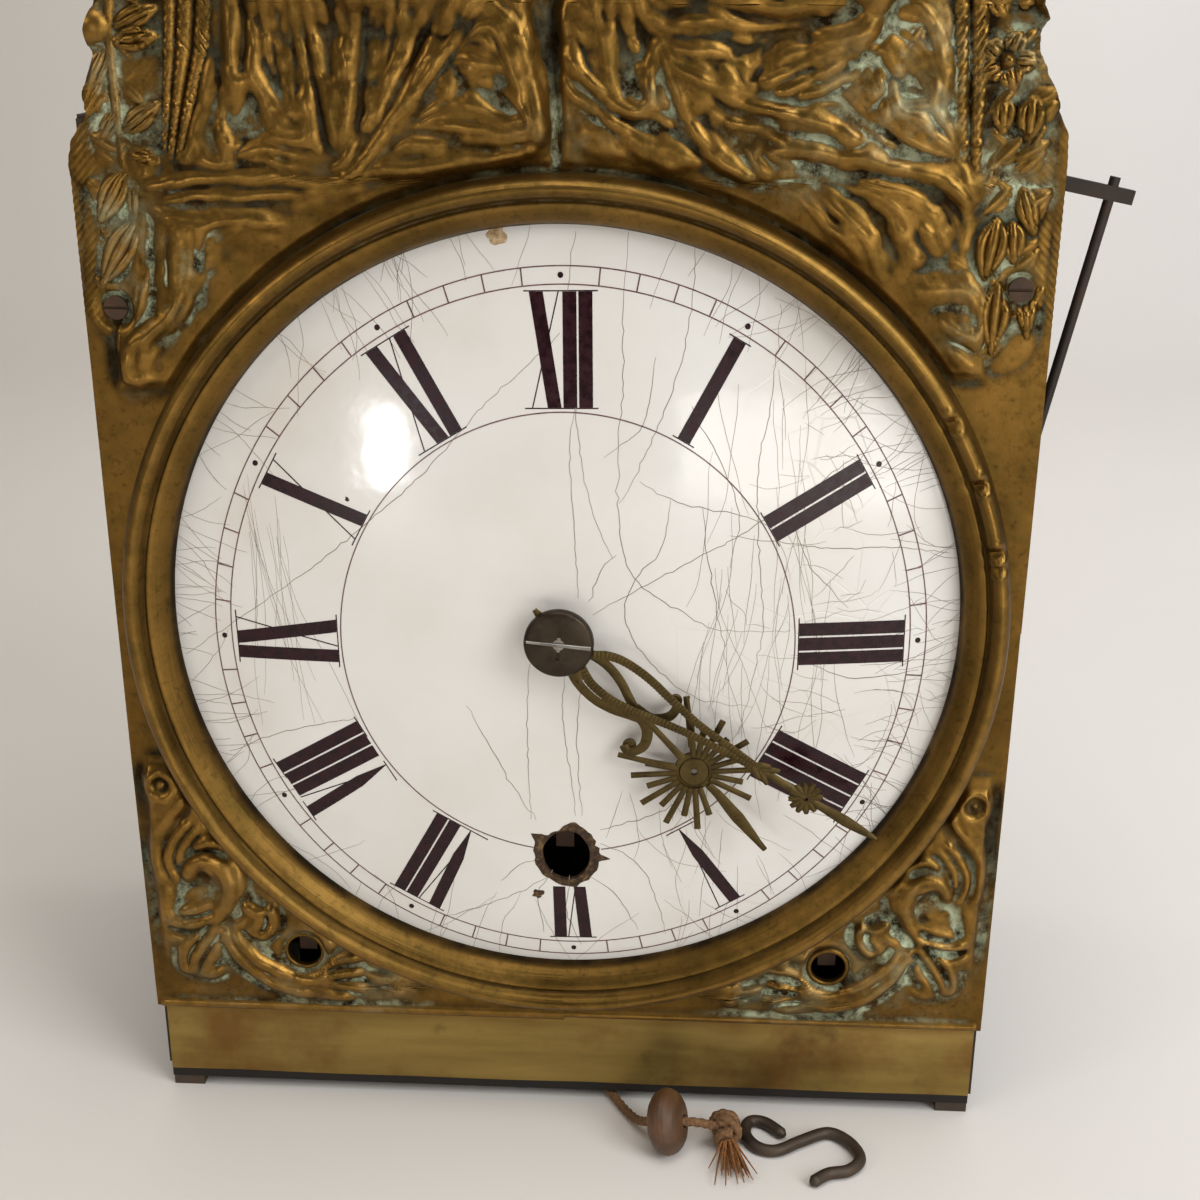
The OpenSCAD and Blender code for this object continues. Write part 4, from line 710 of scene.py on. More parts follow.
rightFigure = [
    (1.2, -3.4, 350, -2.2, 332, -0.8, 318, 0, 307, 2.4, 303, 10, 301.6, 22, 300.8, 27, 299, 38, 299, 48,
     296.6, 58, 296.6), (7.2, -2, 339.4, 1, 337, 3, 334.4, 8, 336, 9, 331.6),
    (7.6, 5, 341, 8, 339.4, 11, 341, 12, 350), (4.4, 1.6, 338, 3.4, 333, 4, 329),
    (7.6, 1, 329, 4, 323.8, 8, 321.4, 11.6, 320, 13.4, 324, 14, 333, 12.6, 341), (5.6, 7.4, 329, 7.2, 324),
    (3.4, -0.4, 326.4, 6, 320.6, 12, 315.8, 17, 312.8, 24, 312.6),
    (5.8, 0.4, 322.4, 6, 317.6, 13, 312.6, 18, 308, 22, 302.4), (2.8, 1.8, 318, 3, 311, 5, 307),
    (5.6, 5.2, 308.8, 7.4, 308, 10.4, 306, 15.6, 304), (3.4, 8, 313.6, 14, 308.8, 20, 303),
    (7.6, 13.4, 319.4, 16.4, 314.8, 19, 314.4, 22, 314.8, 24, 316.4),
    (7.0, 22.8, 327, 22.6, 322, 22, 317.6),
    (2.8, 14.4, 350, 15.2, 333, 19, 326, 22.4, 331.6, 20.4, 338, 19.6, 350),
    (3.0, 19, 326, 19.4, 321, 19, 318), (5.6, 16.8, 350, 17.4, 336, 18.6, 330.6),
    (6.6, 15, 324, 15.6, 320),
    # the thigh, the cloth thrown over it and the long leg
    (8.2, 23, 338, 26, 335.8, 29.4, 333.8, 34, 332, 37, 333.4, 41, 334.6),
    (9.6, 28, 328, 34, 327, 38, 325), (6.4, 24.6, 331, 26.6, 322, 31, 313, 36, 306),
    (8.0, 33, 321.4, 38, 319.4, 44, 317.4, 52, 316, 60, 315),
    (7.6, 60, 315, 66, 312.4, 74, 308, 84, 302.4, 90, 301), (3.4, 22, 311, 28, 310, 33.6, 308, 38, 302.6),
    (6.6, 32.4, 318, 36, 310.6, 40.4, 304.6, 46, 299.4, 50, 297), (4.0, 41, 317, 47, 314.2, 53.6, 313.6),
    (2.8, 43, 309.4, 47, 306, 49.6, 302, 51, 299), (3.2, 45, 309, 50, 307.8, 56, 307),
    (2.8, 52, 304, 55, 300.6, 58, 298), (5.0, 50, 306, 52.6, 302, 54, 298.6),
    (5.4, 45, 312, 55, 311.6, 64, 309.4), (6.0, 24, 304, 30, 301.4, 37, 302),
    (5.6, 24, 306, 26.6, 302, 29, 299.8), (4.6, 38, 313, 40, 309),
    (7.0, 58, 305, 70, 304.4, 80, 302, 84, 300.4, 92, 300, 99, 300, 103, 297, 107, 292),
    (3.0, 60, 308, 70, 307, 79, 305.4), (2.6, 62, 302, 72, 300.6, 79, 299.6),
    (2.4, 86, 302.6, 92, 303.4, 100, 302.8), (1.8, 58, 296.8, 70, 298.6, 85, 297, 96, 294.6, 104, 290),
    # cloth above the hand, the hand and the arm
    (3.6, 42, 331, 50, 331.2, 54, 333.4, 56, 336, 66, 337, 74, 338.6), (2.6, 57, 333, 64, 331.8),
    (6.8, 42, 327.6, 47.6, 326.4, 47, 321), (3.4, 44, 330, 45.6, 327.6),
    (7.6, 40, 339, 45, 334.8, 48.6, 333.2), (3.0, 45, 339, 52, 338, 58, 337.4),
    (6.6, 49, 341, 57, 338.8, 60, 341), (6.6, 22, 350, 27, 342, 36, 340),
    (3.2, 23, 340, 27, 338.6, 32, 339.4), (8.6, 66, 334, 72, 335, 77, 336, 80, 342, 82, 350),
    (8.8, 69, 330, 76, 331, 80, 334), (7.6, 67, 330.4, 60, 328, 53.4, 325.4),
    (7.6, 67.6, 327.4, 60, 324.8, 53, 322), (7.4, 69, 324.8, 63, 322, 57, 320.4),
    (7.2, 71.4, 323, 67, 320, 62, 318.4), (4.6, 64, 328.8, 58, 326.2, 52, 323.6),
    (4.6, 65, 325.4, 59, 323, 54, 320.4), (4.6, 66, 322.6, 62, 320.4, 58, 318.6),
    (3.4, 59, 331, 53, 327.4, 51, 323, 53, 319.4, 60, 316.8, 68, 318, 73, 321.6),
    (3.4, 74, 326, 79, 331, 83, 336, 86, 350), (2.6, 70, 320, 74, 315, 80, 310, 86, 305),
    # the bunch of leaves and buds beside the arm
    (5.6, 80, 331, 84, 328, 86.4, 322, 84, 316), (5.6, 87, 334, 92, 331, 96, 326),
    (5.0, 84, 327, 90, 329.6, 95, 331), (6.2, 89, 341, 95, 336, 98.4, 329, 97.4, 320, 93, 314),
    (2.0, 88, 331.4, 91, 326, 93, 320), (2.2, 84.6, 324, 88, 322, 92.6, 322),
    (5.4, 88, 318, 92, 318.4, 96, 317),
    (5.4, 96, 316, 99.6, 312, 102.4, 309, 100, 306, 96.4, 307, 95, 311), (4.0, 97.6, 311, 99.4, 309),
    (4.8, 85, 312, 88, 309.4, 92, 306.6, 95, 305.4), (1.8, 85, 309, 90, 306, 95, 304),
    (5.0, 79, 321, 82, 318.6, 84, 315), (1.8, 81.4, 328, 83, 321, 82.6, 316),
    (5.2, 86, 341, 88, 338, 91, 337), (2.0, 87, 337, 92, 334.6, 95, 330),
    (0.8, 101.4, 350, 103.2, 335, 104.6, 322, 106.4, 303),
    (0.8, 105.6, 350, 107.2, 335, 108.4, 322, 109, 300), (0.8, 99.8, 346, 101, 336, 102.4, 326, 104, 314),
    (0.8, 112, 350, 113.4, 330, 114.4, 300, 114.6, 282),
]
hangingCloth = [
    (5.0, -109.5, 289.4, -104, 287.6, -100, 286.2),
    (5.4, -98, 285, -94, 286.8, -90, 286.6, -86, 286.2, -82, 287, -78.6, 285),
    (6.0, -100, 286.2, -99.4, 281), (1.6, -85, 289, -75, 290), (4.6, -107, 284, -108, 272, -109, 262),
    (7.2, -103, 282, -102.6, 275, -105, 269, -105.4, 262.4, -109, 258, -114, 255, -119.6, 250),
    (2.4, -99.2, 277, -99.8, 272), (1.4, -95.6, 271, -103.6, 257.6, -111, 250.6, -114, 243),
    (3.0, -89, 283, -95, 276), (1.8, -87, 279, -92, 274),
    (1.4, -111, 287, -111.6, 278, -111.4, 270, -113, 262, -118, 256),
    (3.0, -113.4, 285, -114.6, 272, -116, 262), (4.8, -119.6, 250, -121.8, 246, -121, 241, -118, 239),
    (4.2, -113, 253, -115.6, 246, -117, 240), (3.0, -117.6, 250, -119, 245, -118.4, 242),
]
feetLines = [
    (7.0, 83, 296, 88, 292, 92, 286, 93.6, 280, 94.4, 276.6), (6.2, 79, 297, 90, 296, 95.4, 293.6),
    (6.4, 88, 287, 90, 282), (6.0, 95.6, 288.6, 100, 279.6), (5.6, 97.4, 289, 101.4, 281.4),
    (5.2, 99, 289.6, 102.8, 283.4), (2.2, 93.6, 284, 96.6, 278.6), (4.0, 96.6, 288, 100.6, 280.6),
    (3.8, 98.2, 288.6, 102, 282.4), (1.8, 70, 297, 78, 292, 84, 286, 88.4, 279, 90.4, 275),
    (3.8, 62, 296, 66, 291.4, 72, 285, 75, 280),
    (5.6, 71, 293.4, 73, 289.6, 76, 289, 78.6, 288, 79.6, 285.6, 82, 284),
    (5.6, 82, 284, 83.6, 282, 83, 278.6), (4.6, 75, 284, 79, 280), (4.8, 84.8, 279, 86, 276.6),
    (2.0, 66, 297, 70, 291.6, 74, 286.6),
    (1.4, 96, 295, 101, 291, 104.6, 284, 105, 279, 100, 276, 95, 274),
    (4.8, 96, 268, 100, 270, 108, 270.4, 113, 268), (4.4, 113, 268, 114, 262, 112.4, 255),
    (4.6, 103.6, 260.4, 108, 257.4, 112, 253.6), (1.4, 100, 264, 108, 265, 111, 262.4, 112, 259),
    (3.6, 101, 272, 109, 272.4), (1.4, 101, 274, 107, 273.8), (3.4, 106.6, 252.4, 112, 248),
    (1.4, 104, 255.6, 113, 252), (2.8, 103, 279.6, 107, 275), (3.0, 107.4, 290, 108, 280),
    (1.2, 110, 292, 109.6, 276, 115, 264, 114.6, 250), (1.0, 99, 257, 104, 250, 111, 244),
]
scrollLines = [
    # the small volute at the top and the long leaf under it
    (2.9, *np.ravel(arcPoints(124, 114.5, 4.1, -60, 281))),
    (0.6, *np.ravel(arcPoints(124, 114.5, 2.4, -20, 261))), (2.2, 123.6, 114.6, 124.4, 114.2),
    (3.2, 116.5, 111.5, 118.5, 107, 121.8, 103.4, 125.4, 99, 127.6, 94, 127.9, 88, 126.4, 82),
    (0.8, 115.2, 110, 116.8, 105.6, 119.4, 102.6),
    (0.9, 119, 101.4, 122.8, 97, 125.4, 92, 125.6, 87, 123.8, 82),
    (2.8, 117, 101, 121, 96.4, 123.4, 91, 123.4, 86, 122, 82),
    (0.9, 115.6, 99.8, 119.4, 95.4, 121.6, 90.4, 121.8, 85.6, 120.8, 82.4),
    (2.5, 114.6, 98.6, 117.8, 94.6, 119.8, 90, 120.2, 86), (0.7, 113.6, 97, 116.8, 92.8, 118.8, 89.6),
    # the cushion beside the ring
    (2.7, 108, 95, 112, 95.2, 114.4, 93), (2.4, 104.4, 88, 102, 82, 103, 77),
    (0.4, 107.4, 98.4, 103, 91.6, 99, 86, 98, 82, 100, 76, 104, 70, 107.6, 66),
    # the large volute
    (3.9, 124, 66, 119, 66.2, 112, 68, 107.4, 72, 105.2, 78, 106, 84, 109, 88.4, 113, 89.8, 117, 87.6,
     118.8, 83.4), (0.9, 106, 90, 110, 92, 115, 91.4, 119, 87.6, 120, 83),
    (1.9, 110.6, 74.4, 108.6, 79, 109.4, 83.4), (3.3, 110.4, 85.4, 113, 87.4, 116, 86, 117, 83),
    (0.3, 111.6, 83, 113.4, 84.4, 115, 82.6, 112.8, 81.4), (0.6, 110, 79.4, 113, 80.4, 117, 79.6),
    (1.5, 111, 76.6, 114, 77, 117.4, 76), (0.7, 119.8, 80, 121.4, 75, 122.6, 70),
    (2.9, 111, 72.8, 116, 70.4, 120.4, 69.4), (0.9, 110.8, 70.4, 115, 68.6, 121, 68),
    (2.4, 124.6, 78, 126, 73, 125.6, 69),
    # the crescent, the lower leaf and its drop
    (0.3, 112.6, 65.6, 116, 63.2, 120, 62.4, 124.4, 64), (2.5, 121, 60.2, 124.6, 61.4),
    (3.0, 110.6, 64, 114, 60, 118, 54, 119.4, 49.4), (0.9, 113.6, 63, 117, 58.6, 120, 53.6, 120.6, 49.6),
    (3.0, 117, 61.4, 120.6, 57, 122.4, 52, 121.4, 48.6),
    (0.8, 109.6, 62.4, 112.8, 57.4, 116.4, 51.6, 117.8, 48), (2.7, 108.8, 61, 111.6, 55, 115, 50),
    (0.5, 108, 58, 109.6, 52.6, 112, 50.8), (2.4, 111, 48.6, 113, 46.8, 115.4, 47.2),
    (0.5, 109, 46.6, 113, 44.8, 118, 45.6, 123.6, 48, 124.4, 56),
    # the broad sweep below the winding hole
    (3.3, 107.6, 64, 106.4, 58.4, 102.6, 52, 96.6, 46.6, 89.6, 42.8, 82, 41),
    (2.5, 105.4, 62.4, 103, 57.4, 98, 51.4, 91, 46.6, 84, 44),
    (3.0, 103.6, 62.4, 100.4, 57, 95, 52, 89, 49), (0.5, 101.6, 62.6, 97, 57, 91, 52, 86, 49.4),
    (0.4, 109.4, 59, 107.6, 54.6, 103, 48.4, 96.6, 43, 90, 40, 80, 38.6),
    # the leaf beside the hole
    (3.2, 92, 71.6, 91.2, 68, 92.4, 64.6, 96, 61.6), (2.8, 92.6, 71.4, 96, 70.4, 100.6, 73),
    (2.7, 95.4, 68, 96.8, 65, 98.6, 63), (1.1, 94, 70, 94, 66.6, 96.6, 63.2),
    (0.4, 90, 72.4, 89.6, 67, 91, 62.6, 95, 59.8, 99, 60), (0.4, 94, 73, 98, 74.6, 102, 75),
    (2.3, 99.4, 69.4, 101, 66.6, 103.6, 66.4),
    # leaf lobes toward the middle and the bud at their end
    (3.0, 78, 48.6, 74, 52.6, 70.4, 54.4, 66, 55), (3.0, 77.4, 46.6, 72, 48.6, 66, 50),
    (2.8, 77, 45, 71, 45, 65, 43.6), (2.6, 78, 43.6, 74, 41.6, 70, 40.6),
    (2.6, 79.4, 50.6, 77, 55, 75.4, 59.6), (0.7, 74.4, 50.6, 69, 52.4, 63, 52.6),
    (0.7, 73, 46.8, 68, 47, 62, 46.6), (0.7, 74, 43.4, 69, 42.4, 64, 41), (0.6, 76, 53, 73, 56.6, 71, 58),
    (2.1, 62, 48, 57, 47, 53.6, 45), (2.3, 53.6, 48.6, 51.4, 45.6, 53, 42.4),
    (0.5, 56, 44.6, 59, 43.6, 62, 44), (0.5, 56.6, 49, 60, 49.6, 63, 50.4),
    (0.4, 48, 50, 48, 41, 56, 40, 66, 39),
]


def barbs(left, right, height, pitch, slant):
    # one band of a wing's feathers: slanting barbs between two edges, with a smooth rim
    where, x, z = window(np.vstack([left, right]), 1.0)
    lowX = np.interp(z, [p[1] for p in left], [p[0] for p in left])
    highX = np.interp(z, [p[1] for p in right], [p[0] for p in right])
    inside = (x > lowX) & (x < highX) & (z > left[0][1]) & (z < left[-1][1])
    edge = np.clip(np.minimum(x - lowX, highX - x) / 0.9, 0, 1)
    wave = np.cos(2 * np.pi * (z - x * math.tan(math.radians(slant)))
                  / (pitch / math.cos(math.radians(slant))))
    across = np.clip((x - lowX) / np.maximum(highX - lowX, 0.1), 0, 1)
    body = height * np.sqrt(edge) * (0.75 + 0.25 * np.sin(np.pi * across))
    body += 0.5 * wave * np.clip(edge - 0.3, 0, 1)
    heights[where] = np.where(inside, np.maximum(heights[where], body), heights[where])


def pressFigures():
    # the two seated figures' cloth and limbs, and what hangs below them
    drape(leftFigure + hangingCloth, 237, 351, -126, 0.5)
    drape(rightFigure + feetLines, 243, 351, -2.4, 118)


def pressScrolls(flip):
    # acanthus scrolls of one lower corner, drawn for the right and turned over for the left
    side = (-1 if flip else 1, 1)
    lines = [(level, *np.ravel(np.reshape(numbers, (-1, 2)) * side)) for level, *numbers in scrollLines]
    edges = (-131, -44) if flip else (44, 131)
    drape(lines, 36, 124, edges[0], edges[1], 1.1, 0.0, 0.0, 0.62)


def pressGarlands():
    # wheat bands, then striped leaves, flowers and buds down both sides
    leftWing = [(-106.8, -101, 301), (-104, -90.8, 330), (-103, -89, 342), (-99, -84, 396)]
    rightWing = [(104.6, 109.8, 299), (101.2, 110, 322), (99.4, 109, 342), (93, 103, 396)]
    bands = [(leftWing, -62, 0.0, 0.26, 2.3), (leftWing, -62, 0.28, 0.6, 2.8),
             (leftWing, -62, 0.62, 1.0, 3.1), (rightWing, 62, 0.0, 0.46, 3.0),
             (rightWing, 62, 0.5, 1.0, 2.6)]
    for wing, slant, near, far, height in bands:
        edges = [[(a + share * (b - a), z) for a, b, z in wing] for share in (near, far)]
        barbs(edges[0], edges[1], height, 1.5, slant)
    cushions = [
        ([(-117, 352), (-118, 325), (-118, 300), (-120, 275), (-121, 262)], 11, 1.3),
        ([(-124, 318), (-126, 300)], 7, 1.0),
        ([(115, 352), (117, 330), (119, 305), (120, 280), (119, 256)], 10, 1.3),
        ([(83, 328), (92, 318)], 15, 3.2),
        ([(98, 311), (96, 322)], 9, 3.0),
    ]
    for cushion in cushions:
        swell(*cushion)
    for side, middle in ((-1, 118.5), (1, 119.5)):
        for step in range(15):
            z = 258 + 6.4 * step
            lean = 1 if step % 2 else -1
            x = side * (middle + 1.5 * math.sin(1.7 * step))
            leaf((x, z), (x + side * lean * 8.5, z + (5 if lean > 0 else -9)), 6.4, 1.7, 0.8, 2)
            leaf((x - side * lean * 1.5, z + 3), (x - side * lean * 8, z + 9), 5.2, 1.4, 0.7, 2)
    strand([(-115, 356), (-118, 330), (-117, 300), (-114, 275), (-119, 256)], 2.2, 1.4)
    leaves = [
        ((-117, 334), (-104, 340), 6.5, 3.0), ((-117, 331), (-104, 332.5), 6.5, 3.4),
        ((-119, 330), (-126, 317), 7, 2.6), ((-120, 322), (-127.5, 311), 6, 2.4),
        ((-116.5, 308), (-105.5, 316), 6.5, 3.2), ((-116, 302.5), (-106, 300), 6, 3.0),
        ((-116, 299), (-106, 297.5), 3.6, 2.4), ((-117, 298), (-125.5, 284), 8, 3.4),
        ((-114, 297), (-115.5, 283), 5.5, 3.0), ((-115, 285), (-126.5, 267), 9, 3.6),
        ((-113, 287), (-110, 271), 6, 2.8), ((-112, 275), (-118, 255), 6.5, 3.0),
        ((-121, 259), (-121.5, 241), 5.5, 2.4), ((-118, 344), (-107, 350), 6, 3.0),
        ((-120, 342), (-126, 336), 5, 2.4), ((-117, 314), (-124, 304), 5, 2.2),
    ]
    flower = [(114.5 + 1.5 * math.sin(a), 327.5 + 1.5 * math.cos(a), 114.5 + 8.2 * math.sin(a),
               327.5 + 7.6 * math.cos(a)) for a in [math.radians(20 + 72 * i) for i in range(5)]]
    leaves += [((x0, z0), (x1, z1), 6.4, 3.0) for x0, z0, x1, z1 in flower]
    leaves += [
        ((114.5, 318.5), (115, 309), 6.5, 2.6), ((121.8, 319), (121.5, 307), 7.5, 3.4),
        ((119, 300), (126, 312), 5, 1.8), ((113.5, 305), (111, 289), 4.5, 2.4),
        ((121, 296), (125.5, 283), 6, 2.6), ((115.5, 288), (113, 271), 9, 3.6),
        ((119.5, 287), (120.5, 276), 7, 3.0), ((117, 271), (116.5, 252), 9, 3.4),
        ((124, 272), (126, 256), 5.5, 2.6), ((122, 341), (124, 350), 6, 2.6),
        ((113, 338), (108, 346), 6, 2.6), ((118, 340), (117, 352), 6, 2.8),
    ]
    for start, end, width, height in leaves:
        leaf(start, end, width, height)
    ball(-121.5, 334.5, 4.2, 2.6)
    ball(114.5, 327.5, 1.7, 3.4)
    ball(124.5, 342, 3.4, 2.8)
    cluster = [((88, 330), (93, 337), 6, 1.8), ((85, 321), (81, 327), 5, 1.6),
               ((90, 317), (91, 308), 6, 1.8)]
    for start, end, width, height in cluster:
        leaf(start, end, width, height, 3.0, 3)


def pressCrest():
    # above the dial: the seated figures' upper bodies, heads, and a shell under the arch
    bodies = [
        ([(-46, 362), (-44, 385)], 16, 9.5), ([(-60, 380), (-66, 356), (-52, 345)], 7, 8.5),
        ([(-30, 380), (-22, 362), (-12, 350)], 7, 8.5), ([(-70, 345), (-30, 345)], 13, 8.0),
        ([(46, 360), (44, 384)], 16, 9.5), ([(60, 380), (72, 362), (80, 345)], 7, 8.0),
        ([(30, 378), (26, 360), (34, 348)], 7, 8.0), ([(20, 345), (64, 347)], 13, 8.0),
        ([(-43, 402)], 11.5, 10.0), ([(42, 401)], 11.5, 10.0), ([(-44, 389), (-43, 394)], 6, 9.0),
        ([(44, 388), (43, 393)], 6, 9.0),
    ]
    for body in bodies:
        swell(*body)
    for s in (-1, 1):
        middle = s * 43
        face = [(0, 404, 0, 399.5, 1.0, 1.3), (-4, 404.5, -1.4, 404.9, 0.7, 0.6),
                (1.4, 404.9, 4, 404.5, 0.7, 0.6), (-3.4, 403, -1.6, 403, 0.6, -0.7),
                (1.6, 403, 3.4, 403, 0.6, -0.7), (-2, 397, 2, 397, 0.55, 0.6),
                (-2, 396.2, 2, 396.2, 0.4, -0.5), (-1.2, 393.4, 1.2, 393.4, 1.3, 0.6)]
        face = [([(middle + x0, z0), (middle + x1, z1)], width, height)
                for x0, z0, x1, z1, width, height in face]
        hair = [(arcPoints(middle, 402, r, 20, 161), 1.0, 1.5) for r in (8.6, 10.6)]
        cloth = [([(s * (34 + 5 * i), 388 - 1.2 * i), (s * (36 + 4 * i), 366), (s * (33 + 5 * i), 350)],
                  1.5, 1.6) for i in range(5)]
        arms = [([(s * 60, 382), (s * 67, 364), (s * 62, 350)], 2.6, 1.4),
                ([(s * 30, 380), (s * 25, 364), (s * 20, 352)], 2.4, 1.2),
                ([(s * 36, 388), (s * 44, 380), (s * 54, 388)], 1.4, 1.2)]
        for stroke in face + hair + cloth + arms:
            fold(*stroke)
        for i in range(7):
            t = i / 6
            x, z = s * (112 - 62 * t), 357 + 62 * t - 10 * t * t
            leaf((x, z), (x + s * 9, z + 7), 7, 3.2)
            leaf((x, z), (x - s * 3, z + 10), 6.5, 3.0)
            leaf((x, z), (x - s * 9, z + 2), 6, 2.6)
            ball(x, z, 2.2, 3.0)
    for i in range(9):
        a = math.radians(-68 + 17 * i)
        root = (4 * math.sin(a), 399 + 4 * math.cos(a))
        leaf(root, (26 * math.sin(a), 399 + 29 * math.cos(a)), 8.5, 4.2, 1.4, 3, 1.3)
    ball(0, 398, 5.5, 5.0, 1.4)
    strand([(-26, 392), (-16, 386), (-6, 391), (0, 390), (6, 391), (16, 386), (26, 392)], 4.5, 3.2)
    for s in (-1, 1):
        strand([(s * 2, 386), (s * 8, 372), (s * 5, 358), (s * 1, 350)], 3.6, 2.8)
        leaf((s * 6, 374), (s * 15, 368), 6, 2.6)
        leaf((s * 5, 362), (s * 13, 354), 6, 2.6)


pressFigures()
pressGarlands()
pressScrolls(False)
pressScrolls(True)
pressCrest()
gridX, gridZ = np.meshgrid(rasterX, rasterZ)
wander = np.random.default_rng(7)


def combed(field, steps):
    # smear a field along the folds' own course, so that its grain runs with them
    turn = 0.5 * np.arctan2(softened(courses[1], 6), softened(courses[0], 6))
    rows, columns = np.indices(field.shape)
    total = field.copy()
    for sense in (1, -1):
        r, c = rows.astype(float), columns.astype(float)
        lastX, lastZ = sense * np.cos(turn), sense * np.sin(turn)
        for step in range(steps):
            i = np.clip(np.rint(r).astype(int), 0, field.shape[0] - 1)
            j = np.clip(np.rint(c).astype(int), 0, field.shape[1] - 1)
            goX, goZ = np.cos(turn[i, j]), np.sin(turn[i, j])
            same = np.sign(goX * lastX + goZ * lastZ + 1e-9)
            lastX, lastZ = goX * same, goZ * same
            r, c = r + lastZ, c + lastX
            i = np.clip(np.rint(r).astype(int), 0, field.shape[0] - 1)
            j = np.clip(np.rint(c).astype(int), 0, field.shape[1] - 1)
            total += field[i, j]
    return total / total.std()


def wear():
    # small unevenness of hand-finished pressed metal, crisper edges, and a lip along the bottom
    global heights
    dents = softened(wander.standard_normal(heights.shape), 4)
    grain = softened(wander.standard_normal(heights.shape), 2)
    raised = np.clip(0.15 + heights / 6, 0, 1)
    heights += (0.16 * dents / dents.std() + 0.07 * grain / grain.std()) * raised
    hatch = np.cos(2 * np.pi * (gridZ + 1.1 * np.abs(gridX)) / 2.3)
    hatch *= np.clip((np.abs(gridX) - 104) / 3, 0, 1)
    hatch *= np.clip((gridZ - 256) / 8, 0, 1)
    heights += 0.2 * np.clip(hatch + 0.2, 0, 1) * np.clip(1.6 - heights, 0, 1)
    wrinkles = np.clip(combed(softened(wander.standard_normal(heights.shape), 1), 12), -1.6, 2.0)
    cloth = np.clip((softened(heights, 6) - 2.0) / 2, 0, 1) * (gridZ > 236) * (gridZ < 352)
    scrolled = np.clip((heights - 0.8) / 1.5, 0, 1) * (gridZ < 124)
    heights += (0.22 * cloth + 0.1 * scrolled) * wrinkles
    crisp = np.where(gridZ < 130, 0.9, 0.45)
    heights += crisp * (heights - softened(heights, 3)) * np.clip(heights / 1.2, 0, 1)
    heights = np.clip(heights, 0, 12.6)
    heights += 0.9 * np.exp(-((gridZ - 35.2) / 0.9) ** 2) * (np.abs(gridX) < 131)


wear()
flatSpots = [(-123.4, 261, 4.2), (123.4, 269, 4.2)]
flatSpots += [(side * plateSet["windX"], plateSet["windZ"], 6.6) for side in (-1, 1)]
for spotX, spotZ, spotR in flatSpots:
    heights *= np.clip((np.hypot(gridX - spotX, gridZ - spotZ) - spotR) / 2.2, 0, 1)
ringGap = np.hypot(gridX, gridZ - dialZ) - 129.0
heights *= np.clip(0.25 + ringGap / 3.5, 0.0, 1)
# hollow map: the brass's grime and painted crease shade; crest map: its rubbed wear and painted highlight
# on the ridges
hollowMap = np.clip((softened(heights, 4) - heights) / 0.45, 0, 1)
crestMap = np.clip((heights - softened(heights, 2)) / 0.2, 0, 1)
print("relief pressed, highest", round(float(heights.max()), 1), "mm")


def sampled(field, x, z):
    # value of a map at points on the sheet
    column = np.clip((x - plateSet["left"]) / plateSet["cell"], 0, len(rasterX) - 1.001)
    row = np.clip((z - plateSet["low"]) / plateSet["cell"], 0, len(rasterZ) - 1.001)
    c, r = column.astype(int), row.astype(int)
    u, v = column - c, row - r
    return ((field[r, c] * (1 - u) + field[r, c + 1] * u) * (1 - v)
            + (field[r + 1, c] * (1 - u) + field[r + 1, c + 1] * u) * v)


